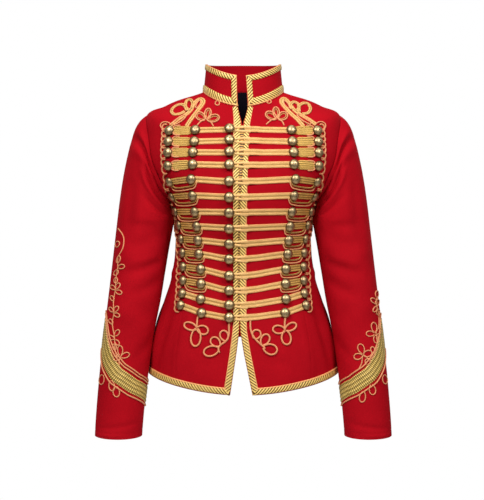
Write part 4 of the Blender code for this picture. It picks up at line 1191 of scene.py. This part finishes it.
def edge_braid(build, side):
    """The tape beside the closing, down the slit and round the front half of the hem."""
    names = ("left_outer", "left_inner") if side > 0 else ("right_outer", "right_inner")
    z = np.linspace(RINGS[-1].z_front, RINGS[0].z_front + TAPE_INSET, 330)
    outer, inner = (column(TAPES, z, name) for name in names)
    u, v = place_on_body((outer + inner) / 2, z)
    v = np.minimum(v, TOP_LEVEL - 0.02)
    turn = np.linspace(np.abs(u[-1]), pi / 2 - 0.002, 130)[1:]
    u = np.concatenate((u, turn * side))
    v = np.concatenate((v, hem_place(turn, TAPE_INSET)))
    half = np.concatenate((np.abs(outer - inner) / 2, np.full(len(turn), HEM_TAPE_HALF)))
    braid(build, body, u, v, half, TWIST if side < 0 else MIRRORED_TWIST, TAPE_LIFT)
    # On the left a strip fills the closing between the tapes; its dark colour is painted shade of the
    # gap
    if side > 0:
        z = np.linspace(FROGS[0].z_centre + 0.008, FROGS[-1].z_centre, 200)
        inner, far = (column(TAPES, z, name) for name in ("left_inner", "right_inner"))
        u, v = place_on_body((inner + far) / 2, z)
        braid(build, body, u, v, (inner - far) / 2 - SEAM_GAP, CORE, TAPE_LIFT, slot=SECOND)


def back_hem(build):
    turn = np.linspace(pi / 2 + 0.002, 3 * pi / 2 - 0.002, 260)
    braid(build, body, turn, hem_place(turn, TAPE_INSET), HEM_TAPE_HALF, MIRRORED_TWIST, TAPE_LIFT)


def fade_in(share, low, high):
    t = np.clip((share - low) / (high - low), 0, 1)
    return t * t * (3 - 2 * t)


def frog_bar(build, frog, side):
    """The bar from a frog's inner end to its middle button."""
    edge, past = ("left_inner", 0.0022) if side > 0 else ("right_outer", -0.0006)
    inner_x = float(column(TAPES, frog.z_centre, edge)) + past
    run, rise = side * frog.x_middle - inner_x, frog.z_middle - frog.z_centre
    places = [(inner_x + run * across, frog.z_centre + rise * up)
              for across, up in ((0, 0), (0.34, 0.22), (0.67, 0.62), (1, 1))]
    u, v = body_line(smooth(places, 0.0022))
    lift = np.full(len(u), FROG_LIFT)
    if side > 0:
        lift = lift + CROSSING_LIFT * (1 - fade_in((u * 0.11 - inner_x) / 0.012, 0.9, 1.6))
    half = BAR_HALF * (0.80 + 0.20 * fade_in(np.arange(len(u)), 0, 6))
    braid(build, body, u, v, half, DOUBLE, lift, flip=side < 0)


def outer_band(build, frog, row, side):
    """The stranded band from a frog's middle button to its outer one."""
    share = np.linspace(-0.06, 1.12, 46)
    x = side * (frog.x_middle + (frog.x_outer - frog.x_middle) * share)
    u, v = place_on_body(x, frog.z_middle + (frog.z_outer - frog.z_middle) * share)
    if row not in LOOPED_ROWS and row >= WIDE_ROWS:
        braid(build, body, u, v, BAR_HALF, DOUBLE, FROG_LIFT, flip=side < 0)
        return
    full, section = (WIDE_HALF, WIDE) if row < WIDE_ROWS else (LOW_HALF, LOW)
    half = BAR_HALF * 0.9 + (full - BAR_HALF * 0.9) * fade_in(share, 0.05, 0.30)
    half = half + (BAND_END_HALF - half) * fade_in(share, 0.62, 1.0)
    braid(build, body, u, v, half, section, FROG_LIFT, slot=SECOND, flip=side < 0)


def picots(build, frog, row, side):
    """Small loops of cord that run on past the outer buttons."""
    after = FROGS[min(row + 1, len(FROGS) - 1)]
    before = FROGS[max(row - 1, 0)]
    drop = (before.z_outer - after.z_outer) / (2 if 0 < row < len(FROGS) - 1 else 1)
    t = np.linspace(0, 2 * pi * 2, 72)
    z = frog.z_outer + drop / 2 - drop * t / (4 * pi) + PICOT_RISE * np.sin(t)
    centre = np.interp(z, [f.z_outer for f in reversed(FROGS)], [f.x_outer for f in reversed(FROGS)])
    x = side * (centre + (0.0095 if row < WIDE_ROWS else 0.0082) - PICOT_REACH * np.cos(t))
    cord(build, body, *place_on_body(x, z), PICOT_RADIUS, slot=PEACH)


def hanging_loop(build, frog, side):
    """A loop of cord under a frog's two outer buttons, with one inside it in the shaded gold, darker
    by painted shade.
    """
    start, end = frog.x_middle - 0.0105, frog.x_outer - 0.0030
    z_start, z_end = frog.z_middle - 0.0040, frog.z_outer - 0.0040
    for reach, inset, radius, slot in ((1.0, 0.0, FINE_RADIUS, PEACH), (0.62, 0.0030, 0.0016, SECOND)):
        places = [(start + inset + (end - start - 2 * inset) * share,
                   z_start + (z_end - z_start) * share - fall * reach)
                  for share, fall in LOOP_FALLS]
        body_cord(build, smooth(places), side, radius, CORD_LIFT, slot)


def inner_curls(build, frog, side):
    """The strands that turn back round the outer button."""
    for sign in (1, -1):
        places = [(frog.x_outer + x, frog.z_outer + sign * z) for x, z in CURL]
        body_cord(build, smooth(places), side, FINE_RADIUS, 0.0012, PEACH)


def fastening_loop(build, frog):
    """The loop of a left bar: over both tapes, round the button's shank on the right."""
    start = float(column(TAPES, frog.z_centre, "left_outer"))
    runs = ((start + 0.002, 0.0044), (start - 0.008, 0.0042), (-0.0060, 0.0036),
            (-0.0160, 0.0030), (CENTRE_BUTTON_X + 0.003, LOOP_HALF_HEIGHT))
    for sign in (1, -1):
        u, v = body_line(smooth([(x, frog.z_centre + sign * rise) for x, rise in runs]))
        half = 0.0028 - 0.0004 * np.linspace(0, 1, len(u))
        braid(build, body, u, v, half, FLAT_CORD, CROSSING_LIFT, slot=BRIGHT, flip=True)
    turn = np.linspace(pi / 2, 3 * pi / 2, 12)
    x = CENTRE_BUTTON_X + 0.001 + np.cos(turn) * LOOP_REACH
    u, v = place_on_body(x, frog.z_centre + np.sin(turn) * LOOP_HALF_HEIGHT)
    cord(build, body, u, v, 0.0018, 0.0022, slot=BRIGHT)


def frog_piece(build, frog, row, side):
    """One side of a row: its bar, outer band, loops of cord and buttons."""
    frog_bar(build, frog, side)
    outer_band(build, frog, row, side)
    picots(build, frog, row, side)
    if row in LOOPED_ROWS:
        hanging_loop(build, frog, side)
    if row < WIDE_ROWS:
        inner_curls(build, frog, side)
    dome(build, *seat(side * frog.x_middle, frog.z_middle))
    dome(build, *seat(side * frog.x_outer, frog.z_outer))
    if side > 0:
        fastening_loop(build, frog)
        return
    point, out = seat(CENTRE_BUTTON_X, frog.z_centre)
    height = BUTTON_SEAT + SHANK_HEIGHT
    turned_form(build, point, out, ((SHANK_RADIUS, 0.0), (SHANK_RADIUS, height)), (0, 0), 10)
    dome(build, point, out, height - 0.0006)


def knot(build, side, name, petal_radius, stem_radius, double=False):
    """A knot of cord on the body: its petals, each with a thin one inside it, and its stems."""
    for rank, petal in enumerate(PETALS[name]):
        body_cord(build, petal_line(petal), side, petal_radius, LOW_CORD_LIFT + 0.0003 * rank)
        if double:
            small = Petal(petal.x + sin(petal.turn) * 0.0036, petal.z + cos(petal.turn) * 0.0036,
                          petal.length - 0.0066, max(petal.breadth - 0.0062, 0.003), petal.turn)
            body_cord(build, petal_line(small), side, petal_radius * 0.6, LOW_CORD_LIFT, SECOND)
    for places in STEMS[name]:
        body_cord(build, smooth(places), side, stem_radius, LOW_CORD_LIFT)


def shoulder_knot(build, side, name):
    """A looped band of braid above the top row, with smaller loops beside it."""
    for (half, lift), places in zip(SHOULDER_BANDS, STEMS[name]):
        u, v = body_line(smooth(places, 0.0015), side)
        braid(build, body, u, v, half, DOUBLE, lift, flip=side < 0)
    for rank, petal in enumerate(PETALS[name]):
        body_cord(build, petal_line(petal), side, FINE_RADIUS, 0.0010 - 0.0004 * rank, SECOND)


def chevron_places(rise):
    """Turns and places down the sleeve along a line beside the cuff's chevron."""
    turn = np.linspace(-pi, pi, 240, endpoint=False)
    away = np.degrees(np.abs(turn))
    table_turns = [row.turn for row in CHEVRON]
    heights = [row.z for row in CHEVRON]

    def height(degrees):
        folded = np.abs((degrees + 180) % 360 - 180)
        return np.interp(folded, table_turns, heights)

    if not rise:
        return turn, height(away)
    best = None
    for k in np.linspace(-1, 1, 61):
        z = height(np.degrees(turn + k * abs(rise) / SLEEVE_RADIUS)) + rise * sqrt(1 - k * k)
        pick = np.maximum if rise > 0 else np.minimum
        best = z if best is None else pick(best, z)
    return turn, best


def around_cuff(build, side, rise, half=None):
    """A line of braid or cord round the sleeve, beside the chevron."""
    turn, z = chevron_places(rise)
    z = np.convolve(np.concatenate((z[-3:], z, z[:3])), np.ones(7) / 7, "valid")
    line = (build, sleeve, turn, place_down_sleeve(turn, z))
    if half:
        braid(*line, half, BAND, CORD_LIFT, closed=True, mirror=side < 0, flip=True)
    else:
        cord(*line, closed=True, mirror=side < 0)


def sleeve_cord(build, side, places, lift=CORD_LIFT):
    turn, v = place_on_sleeve(places[:, 0], places[:, 1])
    cord(build, sleeve, turn, v, 0.0011, lift, mirror=side < 0)


def cuff_low_cord(build, side, hand):
    around_cuff(build, side, -CUFF_CORD_RISE)
    for petal in PETALS["cuff_low_" + hand]:
        sleeve_cord(build, side, petal_line(petal))


def cuff_high_cord(build, side, hand):
    around_cuff(build, side, CUFF_CORD_RISE)
    if side < 0:
        around_cuff(build, side, SECOND_CORD_RISE)
    for rank, petal in enumerate(PETALS["cuff_high_" + hand]):
        sleeve_cord(build, side, petal_line(petal), LOW_CORD_LIFT + CORD_LIFT * (rank % 3))
    for places in STEMS["cuff_" + hand]:
        sleeve_cord(build, side, smooth(places))


# Pieces, each with the solid that it stands for

cloths = [(collar_cloth(), "collar"), (neck_lining(), "neck_lining")]
for side, hand in HANDS:
    cloths.append((panel("front_%s_cloth" % hand, "front", side, 60), "front_" + hand))
    cloths.append((panel("side_%s_cloth" % hand, "side", side, 24, PRINCESS_TOP), "side_" + hand))
    cloths.append((panel("back_%s_cloth" % hand, "back", side, 50), "back_" + hand))
    cloths.append((sleeve_cloth("sleeve_%s_cloth" % hand, side), "sleeve_" + hand))

# A cloth piece's cut: width, length and area in metres, and how it is held; no piece is given one here
Cut = namedtuple("Cut", "width length area held")

trims = []


def trim(node, finishes, make, *facts, sharp=None):
    """A trimming piece in its finishes, filled by one of the functions above."""
    build = Build()
    make(build, *facts)
    trims.append((build.finish(node + "_look", finishes, sharp), node))


trim("collar_braid", [TAPE_GOLD, CORD_PEACH], collar_braid)
trim("hem_braid_back", [TAPE_GOLD_LEFT], back_hem)
for side, hand in HANDS:
    tape = TAPE_GOLD if side < 0 else TAPE_GOLD_LEFT
    trim("edge_braid_" + hand, [tape, CLOSING_GAP_SHADE], edge_braid, side)
    trim("chest_trefoil_" + hand, [CORD_PEACH, CORD_GOLD],
         knot, side, "chest_" + hand, 0.0014, 0.0014, True)
    trim("skirt_trefoil_" + hand, [CORD_PEACH], knot, side, "skirt_" + hand, 0.0018, 0.0019)
    trim("skirt_scroll_" + hand, [CORD_PEACH], knot, side, "scroll_" + hand, 0.0017, 0.0018)
    trim("shoulder_knot_" + hand, [KNOT_GOLD, CORD_PEACH], shoulder_knot, side, "shoulder_" + hand)
    trim("cuff_band_" + hand, [CUFF_GOLD], around_cuff, side, 0.0, CUFF_BAND / 2)
    trim("cuff_low_cord_" + hand, [CORD_PEACH], cuff_low_cord, side, hand)
    trim("cuff_high_cord_" + hand, [CORD_PEACH], cuff_high_cord, side, hand)
    for row, frog in enumerate(FROGS):
        # Rows below the fourth take the darker gold, which is painted shade
        gold = WIDE_GOLD if row < WIDE_ROWS else SHADED_LOW_GOLD
        trim("frog_%s_%02d" % (hand, row + 1), [BAR_GOLD, gold, BRASS, CORD_PEACH, CORD_BRIGHT],
             frog_piece, frog, row, side, sharp=55)

for piece, node in cloths + trims:
    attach(piece, "root")
    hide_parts(node)


# Studio

scene = bpy.context.scene
Light = namedtuple("Light", "name place target size power")
LIGHTS = (
    Light("key", (-0.95, -1.9, 1.40), (0, 0, -0.10), (0.9, 0.7), 56),
    Light("fill", (1.2, -1.5, 1.0), (0, 0, 0.05), (0.9, 0.9), 29),
    Light("top", (0.1, -0.1, 2.2), (0, 0, -0.3), (1.4, 1.0), 15),
    Light("back_left", (-1.8, 1.8, 0.8), (0, 0, -0.3), (1.2, 1.4), 8),
    Light("back_right", (1.8, 1.8, 0.6), (0, 0, -0.3), (1.2, 1.4), 7),
)
for light in LIGHTS:
    lamp = bpy.data.lights.new(light.name, "AREA")
    lamp.shape = "RECTANGLE"
    lamp.size, lamp.size_y = light.size
    lamp.energy = light.power
    lamp_object = bpy.data.objects.new(light.name, lamp)
    scene.collection.objects.link(lamp_object)
    lamp_object.location = light.place
    way = Vector(light.target) - Vector(light.place)
    lamp_object.rotation_euler = way.to_track_quat("-Z", "Y").to_euler()

FLOOR_Z = -1.15
FLOOR_HALF_WIDTH = 1.1
floor_build = Build()
corner = np.array([[(x, y, FLOOR_Z) for x in (-FLOOR_HALF_WIDTH, FLOOR_HALF_WIDTH)]
                   for y in (-1.3, 1.1)])
floor_build.grid(corner, corner[..., :2])
floor_shader = Shader("pale_floor", 0.85)
floor_shader.set("Base Color", (0.86, 0.86, 0.86))
floor = floor_build.finish("floor", [floor_shader.material])

# The world: soft light on the jacket, and plain white behind it
world = bpy.data.worlds.new("studio")
world.use_nodes = True
nodes, links = world.node_tree.nodes, world.node_tree.links
soft, white = nodes["Background"], nodes.new("ShaderNodeBackground")
for background, strength in ((soft, 0.14), (white, 1.0)):
    background.inputs["Color"].default_value = (1.0, 1.0, 1.0, 1.0)
    background.inputs["Strength"].default_value = strength
seen = nodes.new("ShaderNodeLightPath")
choose = nodes.new("ShaderNodeMixShader")
links.new(seen.outputs["Is Camera Ray"], choose.inputs[0])
links.new(soft.outputs[0], choose.inputs[1])
links.new(white.outputs[0], choose.inputs[2])
links.new(choose.outputs[0], nodes["World Output"].inputs[0])
scene.world = world
scene.view_settings.view_transform = "Standard"
scene.view_settings.look = "None"

camera_data = bpy.data.cameras.new("camera")
camera_data.sensor_width = 36.0
camera_data.lens = 147.7
camera_data.clip_end = 30.0
camera = bpy.data.objects.new("camera", camera_data)
camera.location = (-0.0025, -4.0, -0.304)
camera.rotation_euler = (radians(90), 0, 0)
scene.collection.objects.link(camera)
scene.camera = camera
